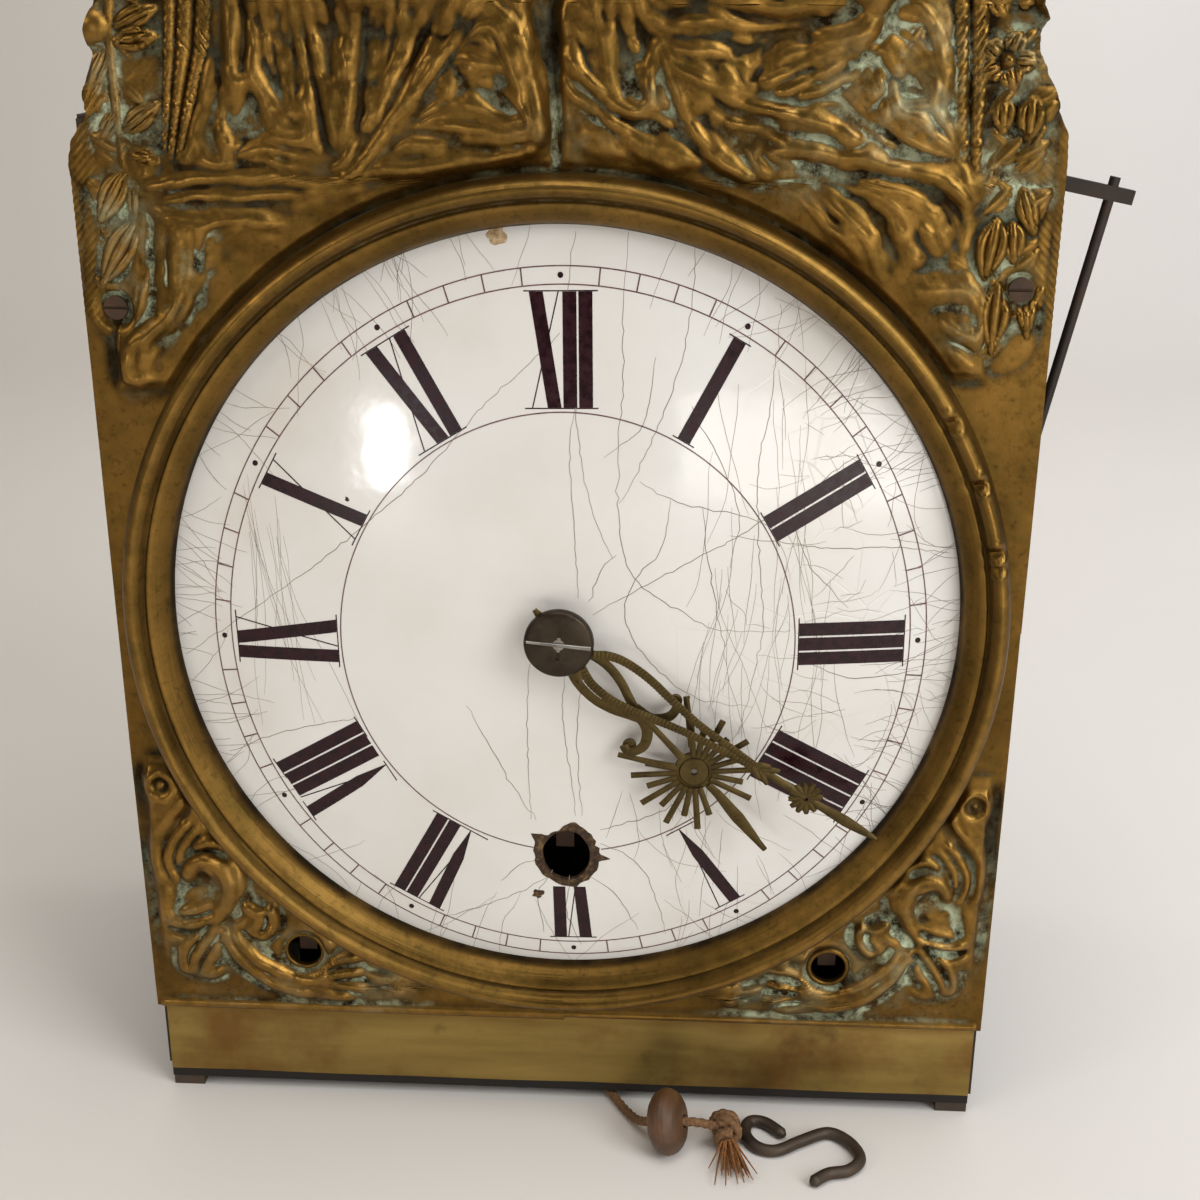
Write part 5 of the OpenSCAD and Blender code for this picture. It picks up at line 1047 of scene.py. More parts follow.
def brassFinish(name, dark, light, green, dirtAndShadeTone, turned=False):
    # old brass: brown in the low parts, darker in the hollows with grime and painted crease shade, lighter
    # on the crests with rubbed wear and a painted highlight, grey green where damp has sat
    finish = Finish(name)
    hollow = finish.attribute("hollow")
    crest = finish.attribute("crest")
    damp = finish.attribute("damp")
    cloud = finish.noise(30.0, 6.0, 0.62)
    mottle = finish.noise(130.0, 5.0, 0.65)
    speck = finish.noise(460.0, 3.0, 0.6)
    tone = finish.mix(finish.range(cloud, 0.34, 0.66), dark, light)
    tone = finish.mix(finish.range(mottle, 0.46, 0.68, 0.0, 0.6), tone, srgb(80, 64, 24))
    tone = finish.mix(finish.range(speck, 0.54, 0.72, 0.0, 0.45), tone, dirtAndShadeTone)
    # crests lighter: rubbed wear, and a painted highlight along the ridges
    rubbedWearAndHighlight = finish.times(finish.range(crest, 0.12, 0.8), finish.range(mottle, 0.62, 0.36, 0.35, 1.0))
    tone = finish.mix(finish.times(rubbedWearAndHighlight, 0.45), tone, srgb(164, 124, 60))
    # hollows darker: grime, and painted shade in the creases
    grimeAndCreaseShade = finish.times(finish.range(hollow, 0.1, 0.6), finish.range(finish.noise(55.0, 4.0), 0.22, 0.55))
    tone = finish.mix(grimeAndCreaseShade, tone, dirtAndShadeTone)
    patch = finish.times(finish.range(hollow, 0.22, 0.6), finish.range(damp, 0.2, 0.75))
    patch = finish.times(patch, finish.range(finish.noise(140.0, 6.0, 0.72), 0.42, 0.6))
    bloom = finish.times(finish.range(damp, 0.45, 1.0, 0.0, 0.55),
                         finish.range(finish.noise(62.0, 6.0, 0.72), 0.46, 0.7))
    patch = finish.math("MAXIMUM", patch, bloom)
    verdigris = finish.mix(finish.range(finish.noise(80.0, 4.0), 0.4, 0.62), srgb(126, 124, 92), green)
    finish.set("Base Color", finish.mix(patch, tone, verdigris))
    finish.set("Metallic", finish.math("SUBTRACT", 0.94, finish.times(patch, 0.9)))
    rough = finish.math("SUBTRACT", finish.range(cloud, 0.3, 0.7, 0.36, 0.5), finish.times(rubbedWearAndHighlight, 0.14))
    finish.set("Roughness", finish.math("ADD", rough,
                                        finish.times(finish.math("MAXIMUM", patch, grimeAndCreaseShade), 0.28)))
    texture = finish.math("ADD", finish.noise(260.0, 5.0, 0.6), finish.times(patch, 0.8))
    if turned:
        split = finish.tree.nodes.new("ShaderNodeSeparateXYZ")
        finish.tree.links.new(finish.stretch((1, 1, 1), shift=(0, 0, -dialZ * mm)), split.inputs[0])
        x, z = split.outputs["X"], split.outputs["Z"]
        reach = finish.math("SQRT", finish.math("ADD", finish.times(x, x), finish.times(z, z)))
        bearing = finish.times(finish.math("ARCTAN2", x, z), 5.0)
        polar = finish.add("ShaderNodeCombineXYZ",
                           {"X": finish.times(reach, 1400.0), "Y": bearing, "Z": 0.0}, "Vector")
        texture = finish.math("ADD", texture, finish.times(finish.noise(1.0, 3.0, 0.5, polar), 0.9))
    finish.bump(texture, 0.3, 0.0005)
    return finish.material


plateMaterial = brassFinish("pressedBrass", srgb(84, 60, 22), srgb(126, 93, 40), srgb(182, 192, 158),
                            srgb(40, 28, 11))
ringMaterial = brassFinish("ringBrass", srgb(92, 67, 27), srgb(124, 94, 43), srgb(104, 100, 70),
                           srgb(42, 31, 14), True)
leftEdge = [(34, -132.4), (120, -132.7), (240, -132.5), (300, -132.6), (306, -131), (309, -129),
            (313, -126), (318, -126.5), (322, -125), (328, -122.5), (330, -124), (334, -124), (341, -121)]
rightEdge = [(34, 132.4), (120, 132.6), (240, 132.7), (302, 132.6), (310, 132), (313, 130), (321, 127),
             (323, 126), (330, 122.5), (335, 122.5), (338, 124.5), (341, 122.5)]
dampSpots = [(-119, 315, 17, 0.95), (-119, 285, 16, 0.95), (120, 300, 14, 0.9), (119, 272, 14, 0.8),
             (117, 328, 14, 0.8), (88, 322, 26, 1.0), (112, 262, 20, 0.8), (-112, 272, 24, 0.85),
             (-118, 325, 22, 0.55), (0, 305, 24, 0.7), (-100, 60, 46, 0.75), (100, 60, 46, 0.8),
             (-60, 44, 26, 0.8), (66, 46, 26, 0.8), (60, 302, 22, 0.7), (-82, 312, 18, 0.55),
             (-20, 318, 22, 0.45), (24, 318, 16, 0.6), (-90, 410, 40, 0.5), (90, 400, 40, 0.5)]


def dampness(x, z):
    level = np.full_like(x, 0.25)
    for spotX, spotZ, reach, strength in dampSpots:
        level = np.maximum(level, strength * np.exp(-((x - spotX) ** 2 + (z - spotZ) ** 2) / reach ** 2))
    return level


def finishPanel(panel, node):
    # paint the maps on the panel, give it the sheet's thickness and its material
    points = readPoints(panel) / mm
    x, z = points[:, 0], points[:, 2]
    paintAttribute(panel, "hollow", sampled(hollowMap, x, z))
    paintAttribute(panel, "crest", sampled(crestMap, x, z))
    paintAttribute(panel, "damp", dampness(x, z))
    applyModifier(panel, "SOLIDIFY", thickness=plateSet["sheet"] * mm, offset=-1.0)
    smoothShade(panel, 70)
    return dress(panel, "case", "pressed_brass", plateMaterial, node)


def sheetPoint(x, z):
    lift = sampled(heights, x, z)
    return inMetres(x, -lift, z)


def sidePanel(name, low, high, fine, columns, edge, sign):
    # one quarter of the sheet, from its outer edge in to the dial's opening or the middle
    windX = sign * plateSet["windX"]
    rows = []
    for start, end, step in fine:
        rows += list(np.linspace(start, end, max(2, int(round((end - start) / step)) + 1))[:-1])
    rows = np.array(rows + [high])

    def place(u, v):
        z = np.interp(v, np.linspace(0, 1, len(rows)), rows)
        outer = np.interp(z, [p[0] for p in edge], [p[1] for p in edge])
        inner = sign * np.sqrt(np.clip(plateSet["holeR"] ** 2 - (z - dialZ) ** 2, 0, None))
        x = outer + (inner - outer) * (u if sign < 0 else 1 - u)
        return sheetPoint(x, z)
    panel = gridPatch(name, columns, len(rows) - 1, place)
    weld(panel)
    if low < plateSet["windZ"]:
        centres = faceCentres(panel) / mm
        away = np.hypot(centres[:, 0] - windX, centres[:, 2] - plateSet["windZ"])
        deleteFaces(panel, away < plateSet["windR"])
    finishPanel(panel, "front_plate")
    if low < plateSet["windZ"]:
        lip = [(5.3, 1.2), (5.2, -0.5), (5.5, -1.0), (6.0, -1.1), (6.6, -0.7), (7.0, 0.1), (7.0, 1.2),
               (5.3, 1.2)]
        rim = lathe(name + "Lip", lip, (windX, plateSet["windZ"]), 48, False)
        for key, value in (("hollow", 0.15), ("crest", 0.35), ("damp", 0.4)):
            paintAttribute(rim, key, np.full(len(rim.data.vertices), value))
        dress(rim, "case", "pressed_brass", plateMaterial, "front_plate")


def archTop(x):
    # the arch's height over the sheet's width, with a leafy edge
    turn = np.radians(np.linspace(45.85, 90, 400))
    reach = 190.9 + 73.1 * np.sin(np.radians(90 * (np.degrees(turn) - 45.85) / 44.15))
    scallop = 2.2 * (np.abs(np.sin(np.linspace(0, 8.5 * np.pi, 400))) - 0.8)
    across, up = (reach + scallop) * np.cos(turn), dialZ + (reach + scallop) * np.sin(turn)
    order = np.argsort(across)
    return np.minimum(np.interp(np.abs(x), across[order], up[order]), plateSet["top"])


def crestPanel():
    def place(u, v):
        x = -121 + (122.5 + 121) * u
        z = 341 + v * np.maximum(archTop(x) - 341, 0)
        return sheetPoint(x, z)
    panel = gridPatch("plateCrest", 270, 104, place)
    weld(panel, 2e-6)
    return finishPanel(panel, "front_plate")


sidePanel("plateUpperLeft", 170, 341, [(170, 236, 4.0), (236, 341, 0.58)], 228, leftEdge, -1)
sidePanel("plateUpperRight", 170, 341, [(170, 236, 4.0), (236, 341, 0.58)], 228, rightEdge, 1)
sidePanel("plateLowerLeft", 34, 170, [(34, 124, 0.62), (124, 170, 4.0)], 214, leftEdge, -1)
sidePanel("plateLowerRight", 34, 170, [(34, 124, 0.62), (124, 170, 4.0)], 214, rightEdge, 1)
crestPanel()
print("front sheet laid")

# moulded ring round the dial, in the same sheet
ringSet = {"inner": 115.0, "outer": 129.0, "height": 10.6, "steps": 720,
           "front": [(0, .10), (.08, .36), (.26, .60), (.42, .70), (.48, .66), (.53, .72), (.60, .90),
                     (.73, 1.0), (.89, .85), (.965, .47), (1, 0)],
           "dents": [(59, 0.75, 2.4), (68, 0.7, 2.6), (77.6, 0.75, 2.8), (79.6, 0.6, 1.8), (243, 3.0, 0.5),
                     (150, 4.0, 0.5)]}


def makeRing():
    width = ringSet["outer"] - ringSet["inner"]
    front = np.array([(ringSet["inner"] + a * width, -h * ringSet["height"], 0)
                      for a, h in ringSet["front"]])
    front = smoothPath(front, 0.4)[:, :2]
    back = np.array([(ringSet["outer"], 0.9), (ringSet["inner"], 0.9)])
    profile = np.vstack([front, back, front[:1]])
    ring = lathe("dialRing", profile, (0, dialZ), ringSet["steps"], False)
    points = readPoints(ring) / mm
    angle = np.degrees(np.arctan2(points[:, 0], points[:, 2] - dialZ)) % 360
    radius = np.hypot(points[:, 0], points[:, 2] - dialZ)
    bead = np.exp(-((radius - 124.6) / 2.5) ** 2) * (points[:, 1] < -2)
    for where, reach, depth in ringSet["dents"]:
        off = np.abs(angle - where) / reach
        points[:, 1] += depth * bead * (np.exp(-off ** 2) - 0.3 * np.exp(-((off - 1.8) / 0.6) ** 2))
    points[:, 1] += 0.12 * bead * np.sin(np.radians(angle * 7)) * np.sin(np.radians(angle * 3 + 40))
    writePoints(ring, mm * points)
    share = (radius - ringSet["inner"]) / width
    # hollow: the groove and both edges, darkened with grime and painted shade where the ring meets dial
    # and plate
    paintAttribute(ring, "hollow", np.clip(0.5 * np.exp(-((share - 0.5) / 0.035) ** 2)
                                           + 0.6 * np.exp(-(share / 0.05) ** 2)
                                           + 0.6 * np.exp(-((share - 1) / 0.04) ** 2), 0, 1))
    # crest: the bead and the inner step, lightened with rubbed wear and a painted highlight
    paintAttribute(ring, "crest", np.clip(0.8 * np.exp(-((share - 0.76) / 0.1) ** 2)
                                          + 0.5 * np.exp(-((share - 0.38) / 0.05) ** 2), 0, 1))
    paintAttribute(ring, "damp", 0.15 + 0.35 * np.clip(np.cos(np.radians(angle)), 0, 1) ** 2)
    smoothShade(ring, 60)
    return dress(ring, "case", "pressed_brass", ringMaterial, "front_plate")


makeRing()
print("ring turned")

# domed enamel dial, with its print, cracks and chips
dialSet = {"radius": 119.8, "bow": 725.0, "front": -8.5, "thick": 1.6, "centreHole": 6.0, "windX": 1.0,
           "windZ": 95.6, "printX": 1.4, "printZ": -4.2,
           "brokenAt": (0, 25, 45, 70, 90, 115, 140, 165, 180, 205, 230, 255, 270, 290, 310, 335, 360),
           "broken": (8.9, 8.7, 7.9, 7.5, 7.3, 7.6, 8.3, 9.2, 9.3, 8.8, 7.9, 7.3, 7.2, 7.5, 7.6, 8.3, 8.9)}


def domeDepth(radius):
    return dialSet["front"] + dialSet["bow"] - np.sqrt(dialSet["bow"] ** 2 - radius ** 2)


def enamelFinish():
    finish = Finish("whiteEnamel")
    split = finish.tree.nodes.new("ShaderNodeSeparateXYZ")
    moved = finish.stretch((1, 1, 1), shift=(0, 0, -dialZ * mm))
    finish.tree.links.new(moved, split.inputs[0])
    x, z = split.outputs["X"], split.outputs["Z"]
    radius = finish.math("SQRT", finish.math("ADD", finish.times(x, x), finish.times(z, z)))
    cracks = finish.range(finish.cells(70.0), 0.0, 0.02, 1.0, 0.0)
    cracks = finish.times(cracks, finish.times(finish.range(x, 0.02, 0.1),
                                               finish.range(finish.noise(16.0, 3.0), 0.45, 0.62)))
    cloud = finish.noise(18.0, 4.0)
    tone = finish.mix(finish.range(cloud, 0.35, 0.7), srgb(224, 221, 216), srgb(216, 210, 202))
    stain = finish.times(finish.range(finish.noise(9.0, 5.0), 0.56, 0.75),
                         finish.range(radius, 0.07, 0.115))
    tone = finish.mix(finish.times(stain, 0.4), tone, srgb(178, 158, 130))
    finish.set("Base Color", finish.mix(finish.times(cracks, 0.3), tone, srgb(124, 112, 98)))
    finish.set("Roughness", finish.range(cloud, 0.3, 0.7, 0.09, 0.15))
    finish.set("Coat Weight", 0.3)
    finish.set("Coat Roughness", 0.06)
    surface = finish.math("SUBTRACT", finish.noise(46.0, 4.0, 0.55), finish.times(cracks, 0.5))
    finish.bump(surface, 0.3, 0.0006)
    return finish.material


def holeReach(angle):
    # the broken edge of the winding hole, by clockwise angle from the top
    return np.interp(np.degrees(angle) % 360, dialSet["brokenAt"], dialSet["broken"])


def makeDial():
    radii = np.linspace(dialSet["centreHole"], dialSet["radius"], 90)
    front = np.column_stack([radii, domeDepth(radii)])
    back = np.column_stack([radii[::-6], domeDepth(radii[::-6]) + dialSet["thick"]])
    profile = np.vstack([front, back, [[dialSet["centreHole"], front[0][1] + dialSet["thick"]]],
                         front[:1]])
    dial = lathe("enamelDial", profile, (0, dialZ), 240, False)
    deselectAll()
    bpy.ops.mesh.primitive_cylinder_add(vertices=96, radius=0.008, depth=0.05)
    cutter = bpy.context.object
    points = readPoints(cutter)
    angle = np.arctan2(points[:, 0], points[:, 1])
    reach = mm * holeReach(angle)
    writePoints(cutter, np.stack([mm * dialSet["windX"] + reach * np.sin(angle), -points[:, 2],
                                  mm * dialSet["windZ"] + reach * np.cos(angle)], axis=1))
    applyModifier(dial, "BOOLEAN", object=cutter, operation="DIFFERENCE", solver="EXACT")
    bpy.data.objects.remove(cutter)
    smoothShade(dial, 40)
    return dress(dial, "case", "enamel", enamelFinish(), "dial")


makeDial()
print("dial fired")

# plain apron below the front sheet
apronSet = {"half": 131.0, "low": 7.0, "high": 40.0, "front": 3.0, "thick": 1.0}


def makeApron():
    def place(u, v):
        x = (2 * u - 1) * apronSet["half"]
        z = apronSet["low"] + v * (apronSet["high"] - apronSet["low"])
        wave = 0.22 * np.sin(x / 23.0 + 0.6) * np.sin(z / 17.0) + 0.12 * np.sin(x / 9.0 + z / 8.0)
        return inMetres(x, apronSet["front"] - 0.1 + wave, z)
    apron = gridPatch("apronSheet", 160, 22, place)
    applyModifier(apron, "SOLIDIFY", thickness=apronSet["thick"] * mm, offset=-1.0)
    smoothShade(apron, 50)
    finish = Finish("apronBrass")
    streak = finish.noise(90.0, 4.0, 0.6, finish.stretch((0.12, 1, 1)))
    stain = finish.range(finish.noise(24.0, 5.0, 0.62), 0.5, 0.68)
    tone = finish.mix(finish.range(streak, 0.3, 0.7), srgb(128, 105, 54), srgb(164, 138, 78))
    up = finish.add("ShaderNodeSeparateXYZ", {"Vector": finish.place}, "Z")
    edge = finish.range(finish.math("ADD", up, finish.times(finish.noise(60.0, 4.0), 0.012)), 0.033, 0.041)
    tone = finish.mix(finish.times(finish.math("MAXIMUM", stain, edge), 0.6), tone, srgb(104, 62, 26))
    shifted = finish.stretch((1, 1, 1), shift=(0.3, 0, 0.2))
    blot = finish.range(finish.noise(38.0, 4.0, 0.6, shifted), 0.6, 0.72)
    finish.set("Base Color", finish.mix(finish.times(blot, 0.6), tone, srgb(78, 62, 34)))
    finish.set("Metallic", 0.9)
    finish.set("Roughness", finish.range(streak, 0.3, 0.7, 0.36, 0.52))
    finish.bump(streak, 0.08, 0.0003)
    return dress(apron, "case", "apron_brass", finish.material, "apron")


makeApron()
print("apron cut")

# finishes of the pieces that keep their CAD shape
metalSet = {
    "wrought_iron": (srgb(62, 54, 48), srgb(92, 80, 68), srgb(104, 66, 40), 0.75, 0.55, 60.0),
    # near-black iron, darker than the plain iron, as painted shade under the apron
    "shadow_dark_iron": (srgb(24, 20, 17), srgb(36, 30, 25), srgb(48, 32, 22), 0.4, 0.7, 60.0),
    "black_sheet": (srgb(44, 38, 33), srgb(66, 57, 48), srgb(88, 58, 38), 0.6, 0.58, 40.0),
    "steel": (srgb(128, 124, 118), srgb(164, 160, 152), srgb(104, 84, 62), 0.95, 0.34, 120.0),
    "dark_steel": (srgb(48, 41, 34), srgb(70, 60, 48), srgb(58, 42, 30), 0.9, 0.42, 150.0),
    "wheel_brass": (srgb(168, 132, 66), srgb(198, 162, 92), srgb(112, 84, 44), 0.95, 0.34, 70.0),
    "hand_brass": (srgb(66, 54, 30), srgb(94, 78, 44), srgb(44, 35, 20), 0.9, 0.46, 160.0),
    "rusty_square": (srgb(58, 44, 34), srgb(82, 60, 44), srgb(96, 56, 30), 0.55, 0.6, 180.0),
    "bell_metal": (srgb(150, 118, 72), srgb(186, 152, 100), srgb(96, 76, 48), 0.95, 0.3, 45.0),
    "pressed_brass": (srgb(116, 82, 36), srgb(164, 122, 60), srgb(62, 42, 18), 0.94, 0.42, 40.0),
    "apron_brass": (srgb(150, 118, 62), srgb(182, 148, 88), srgb(118, 74, 36), 0.9, 0.42, 40.0),
}


def metalFinish(name):
    dark, light, stained, metallic, roughness, scale = metalSet[name]
    finish = Finish(name)
    cloud = finish.noise(scale, 5.0, 0.6)
    spots = finish.range(finish.noise(scale * 4.5, 4.0, 0.65), 0.55, 0.72)
    tone = finish.mix(finish.range(cloud, 0.3, 0.7), dark, light)
    finish.set("Base Color", finish.mix(finish.times(spots, 0.6), tone, stained))
    finish.set("Metallic", metallic)
    rough = finish.range(cloud, 0.3, 0.7, roughness - 0.06, roughness + 0.08)
    finish.set("Roughness", finish.math("ADD", rough, finish.times(spots, 0.15)))
    finish.bump(finish.noise(scale * 9, 4.0), 0.14, 0.0004)
    return finish.material


def woodFinish(name, dark, light, turn):
    finish = Finish(name)
    grain = finish.noise(160.0, 5.0, 0.6, finish.stretch((1, 0.12, 1), rotation=turn), 0.6)
    wear = finish.noise(70.0, 4.0)
    tone = finish.mix(finish.range(grain, 0.3, 0.7), dark, light)
    finish.set("Base Color", finish.mix(finish.range(wear, 0.5, 0.75, 0.0, 0.5), tone, srgb(58, 38, 20)))
    finish.set("Roughness", finish.range(wear, 0.3, 0.7, 0.42, 0.62))
    finish.bump(grain, 0.25, 0.0004)
    return finish.material


finishes = {name: metalFinish(name) for name in metalSet}
finishes["drum_wood"] = woodFinish("drumWood", srgb(112, 80, 48), srgb(152, 114, 72), (0, 0, 0))
finishes["button_wood"] = woodFinish("buttonWood", srgb(66, 42, 24), srgb(98, 66, 38), (0, 0, 1.36))
finishes["cord"] = cordMaterial
finishes["enamel"] = bpy.data.materials["whiteEnamel"]
for entry in frame["record"]["subparts"]:
    node = cadNodes[entry["node"]]
    node.data.materials.clear()
    node.data.materials.append(finishes[entry["material_slot"]])
    smoothShade(node, 32)
# bottom plate in near-black iron: painted shade, a shadow line under the apron
cadNodes["bottom_plate"].data.materials[0] = finishes["shadow_dark_iron"]
for name in ("going_arbor", "left_arbor", "right_arbor", "plate_screws"):
    cadNodes[name].data.materials[0] = finishes["rusty_square"]
print("finishes given")

# the two bells, turned smooth
bellSet = {"radius": 36.0, "height": 25.0, "wall": 2.0, "lip": 1.5, "hole": 3.1}


def makeBell(name, node):
    cad = cadNodes[node]
    corners = np.array([list(corner) + [1.0] for corner in cad.bound_box])
    corners = corners @ np.array(cad.matrix_world).T / mm
    low, high = corners[:, :3].min(axis=0), corners[:, :3].max(axis=0)
    turn = np.radians(np.linspace(0, 85, 44))
    dome = np.column_stack([np.cos(turn), np.sin(turn)])
    outer = dome * (bellSet["radius"], bellSet["height"])
    inner = dome * (bellSet["radius"] - bellSet["wall"], bellSet["height"] - bellSet["wall"])
    lip = [(36.7, -0.5), (37.3, -1.0), (37.5, -1.5), (34.2, -1.5), (34.0, -0.7)]
    bore = [(bellSet["hole"], bellSet["height"] - bellSet["wall"]), (bellSet["hole"], bellSet["height"])]
    profile = np.vstack([bore[1:], outer[::-1], lip, inner, bore])

    def place(u, v):
        spot = profile[np.rint(v * (len(profile) - 1)).astype(int)]
        angle = 2 * np.pi * u
        return inMetres((low[0] + high[0]) / 2 + spot[:, 0] * np.cos(angle),
                        (low[1] + high[1]) / 2 + spot[:, 0] * np.sin(angle),
                        low[2] + bellSet["lip"] + spot[:, 1])
    bell = gridPatch(name, 128, len(profile) - 1, place)
    weld(bell)
    smoothShade(bell, 40)
    return dress(bell, "case", "bell_metal", finishes["bell_metal"], node)


makeBell("bellLeft", "left_bell")
makeBell("bellRight", "right_bell")
print("bells turned")

# the dial's print: thin raised strokes laid on the dome
printSet = {"raise": 0.06, "outer": 97.5, "inner": 67.3, "bar": 3.8, "gap": 0.55, "line": 0.34,
            "cross": 8.6, "vee": 7.3, "trackOuter": 104.1, "trackInner": 99.4, "innerRing": 66.1,
            "dot": 0.8, "tall": 1.039, "turn": -0.9, "serif": 1.5, "broken": 0.385}
numerals = ["I", "II", "III", "IIII", "V", "VI", "VII", "VIII", "IX", "X", "XI", "XII"]


def onDial(across, radius, turn):
    # a place on the dial's face: across runs clockwise, radius outward, both from the print's centre
    turn += math.radians(printSet["turn"])
    x = dialSet["printX"] + across * math.cos(turn) + radius * math.sin(turn)
    z = dialSet["printZ"] + printSet["tall"] * (radius * math.cos(turn) - across * math.sin(turn))
    depth = domeDepth(np.hypot(x, z)) - printSet["raise"]
    return inMetres(x, depth, z + dialZ)


def printStroke(hour, start, end, *widths, first=0.0):
    # widths are spread evenly from the start to the end; first is the share that has broken away
    turn = math.radians(30 * hour)

    def place(u, v):
        v = first + (1 - first) * v
        width = np.interp(v, np.linspace(0, 1, len(widths)), widths)
        across = start[0] + (end[0] - start[0]) * v + (u - 0.5) * width
        radius = start[1] + (end[1] - start[1]) * v
        return onDial(across, radius, turn)
    return gridPatch("stroke", 1, 12, place)


def printNumeral(hour, letters):
    bar, gap, outer, line = (printSet[key] for key in ("bar", "gap", "outer", "line"))
    inner = printSet["inner"]
    first = printSet["broken"] if hour == 6 else 0.0
    widths = {"I": bar, "V": printSet["vee"], "X": printSet["cross"]}
    total = sum(widths[letter] for letter in letters) + gap * (len(letters) - 1)
    at = -total / 2
    strokes = []
    for letter in letters:
        width = widths[letter]
        if letter == "I":
            strokes.append(printStroke(hour, (at + bar / 2, inner), (at + bar / 2, outer), bar, bar,
                                       first=first))
        elif letter == "V":
            tip = at + 0.6 * width
            strokes.append(printStroke(hour, (tip, inner), (at + bar / 2, outer), 0.3, 0.95 * bar, bar,
                                       bar, first=first))
            strokes.append(printStroke(hour, (tip, inner + 0.3 * (outer - inner)), (at + width, outer),
                                       line, line, first=max(0.0, (first - 0.3) / 0.7)))
        else:
            start = (at + width - bar / 2, inner)
            strokes.append(printStroke(hour, start, (at + bar / 2, outer), bar, bar))
            strokes.append(printStroke(hour, (at + 0.6, inner), (at + width - 0.6, outer), line, line))
        at += width + gap
    serif = total + 2 * printSet["serif"]
    for radius in [outer + 0.2] if hour == 6 else [inner - 0.2, outer + 0.2]:
        strokes.append(printStroke(hour, (0, radius - line / 2), (0, radius + line / 2), serif, serif))
    return strokes


def printRing(radius, width):
    def place(u, v):
        reach = radius + (v - 0.5) * width
        x = dialSet["printX"] + reach * np.sin(2 * np.pi * u)
        z = dialSet["printZ"] + printSet["tall"] * reach * np.cos(2 * np.pi * u)
        return inMetres(x, domeDepth(np.hypot(x, z)) - printSet["raise"], z + dialZ)
    ring = gridPatch("track", 240, 1, place)
    weld(ring)
    return ring


def printDot(hour):
    turn = math.radians(30 * hour)
    middle = (printSet["trackOuter"] + printSet["trackInner"]) / 2

    def place(u, v):
        reach = printSet["dot"] * (0.02 + 0.98 * v)
        return onDial(reach * np.cos(2 * np.pi * u), middle + reach * np.sin(2 * np.pi * u), turn)
    dot = gridPatch("dot", 14, 1, place)
    weld(dot, 3e-5)
    return dot


def inkFinish(name, dark, light):
    finish = Finish(name)
    wear = finish.noise(420.0, 4.0)
    finish.set("Base Color", finish.mix(finish.range(wear, 0.35, 0.75), dark, light))
    finish.set("Roughness", finish.range(wear, 0.3, 0.7, 0.2, 0.36))
    finish.set("Specular IOR Level", 0.3)
    finish.bump(wear, 0.1, 0.0001)
    return finish.material


def makePrint():
    strong, fine = [], []
    for index, letters in enumerate(numerals):
        strong += printNumeral(index + 1, letters)
        strong.append(printDot(index + 1))
    for radius in (printSet["trackOuter"], printSet["trackInner"], printSet["innerRing"]):
        fine.append(printRing(radius, printSet["line"]))
    centres = faceCentres(fine[-1]) / mm
    deleteFaces(fine[-1], np.hypot(centres[:, 0] - dialSet["windX"],
                                   centres[:, 2] - dialSet["windZ"]) < 10.6)
    for minute in range(60):
        if minute % 5:
            fine.append(printStroke(minute / 5, (0, printSet["trackInner"]), (0, printSet["trackOuter"]),
                                    0.4, 0.4))
    numeralInk = inkFinish("numeralInk", srgb(26, 4, 9), srgb(48, 11, 20))
    trackInk = inkFinish("trackInk", srgb(92, 62, 62), srgb(122, 92, 88))
    for pieces, name, material in ((strong, "dialNumerals", numeralInk), (fine, "dialTracks", trackInk)):
        obj = joinAll(pieces, name)
        applyModifier(obj, "SOLIDIFY", thickness=0.05 * mm, offset=0.0)
        weld(obj, 1e-9)
        smoothShade(obj, 40)
        dress(obj, "case", "enamel", material)


makePrint()
print("dial printed")

# hairline cracks in the enamel: the long ones by place, the fine ones as wandering families
crackSet = {"wide": 0.24, "thin": 0.15, "raise": 0.02, "edge": 115.6}
longCracks = [
    [18, 283, 17, 262, 17, 240, 16, 222, 16.6, 205, 17.4, 195, 23, 185, 33, 178, 45, 171.6, 66, 171],
    [4, 283, 2, 268, 4, 240, 6, 220, 9.6, 204, 15, 193],
    [36, 279, 35, 258, 31, 242, 25, 226, 17, 209],
    [31, 210, 28.6, 196, 22.4, 188, 18.6, 180, 20, 170, 29, 158, 40, 150, 56, 147],
    [60, 264, 58, 240, 55, 218, 56, 196, 58, 172, 55, 152, 52, 138],
    [47, 200, 60, 198, 76, 196, 92, 196, 110, 194],
    [9, 176, 28, 187, 47, 198, 66, 210, 84, 223, 98, 226],
    [1, 157, 0.4, 142, 3, 122, 4, 110],
    [6, 157, 4.6, 136, 6, 110],
    [-9, 161, -10, 146, -10, 128, -9.4, 108],
    [-28, 146, -22, 134, -15, 120, -8, 108],
    [-7, 94, -14, 91, -19, 85],
    [-4, 88, -14, 81, -26, 75, -38, 70],
    [11, 100, 19, 96.6, 25, 90, 29, 78, 32, 66],
    [9, 88, 17, 80, 23, 68],
    [12, 105, 26, 110, 38, 117],
    [-113, 157, -95, 170, -75, 185, -57, 200, -40, 215, -20, 237, 0, 256],
    [-102, 125, -86, 133, -62, 140],
    [5, 181, 4, 200, 2.4, 222, 4, 236],
    [8, 180, 12, 190, 16, 194],
    [40, 208, 42, 190, 46, 172, 48, 160],
    [36, 236, 44, 222, 50, 206, 48, 190],
    [22, 215, 34, 209, 50, 206, 60, 202],
    [-3, 90, -8, 80, -6, 66],
    [2, 88, 1, 74, 5, 62],
    [26, 250, 23, 232, 12, 222],
    [64, 208, 70, 192, 82, 178],
    [70, 162, 84, 156, 104, 158],
]
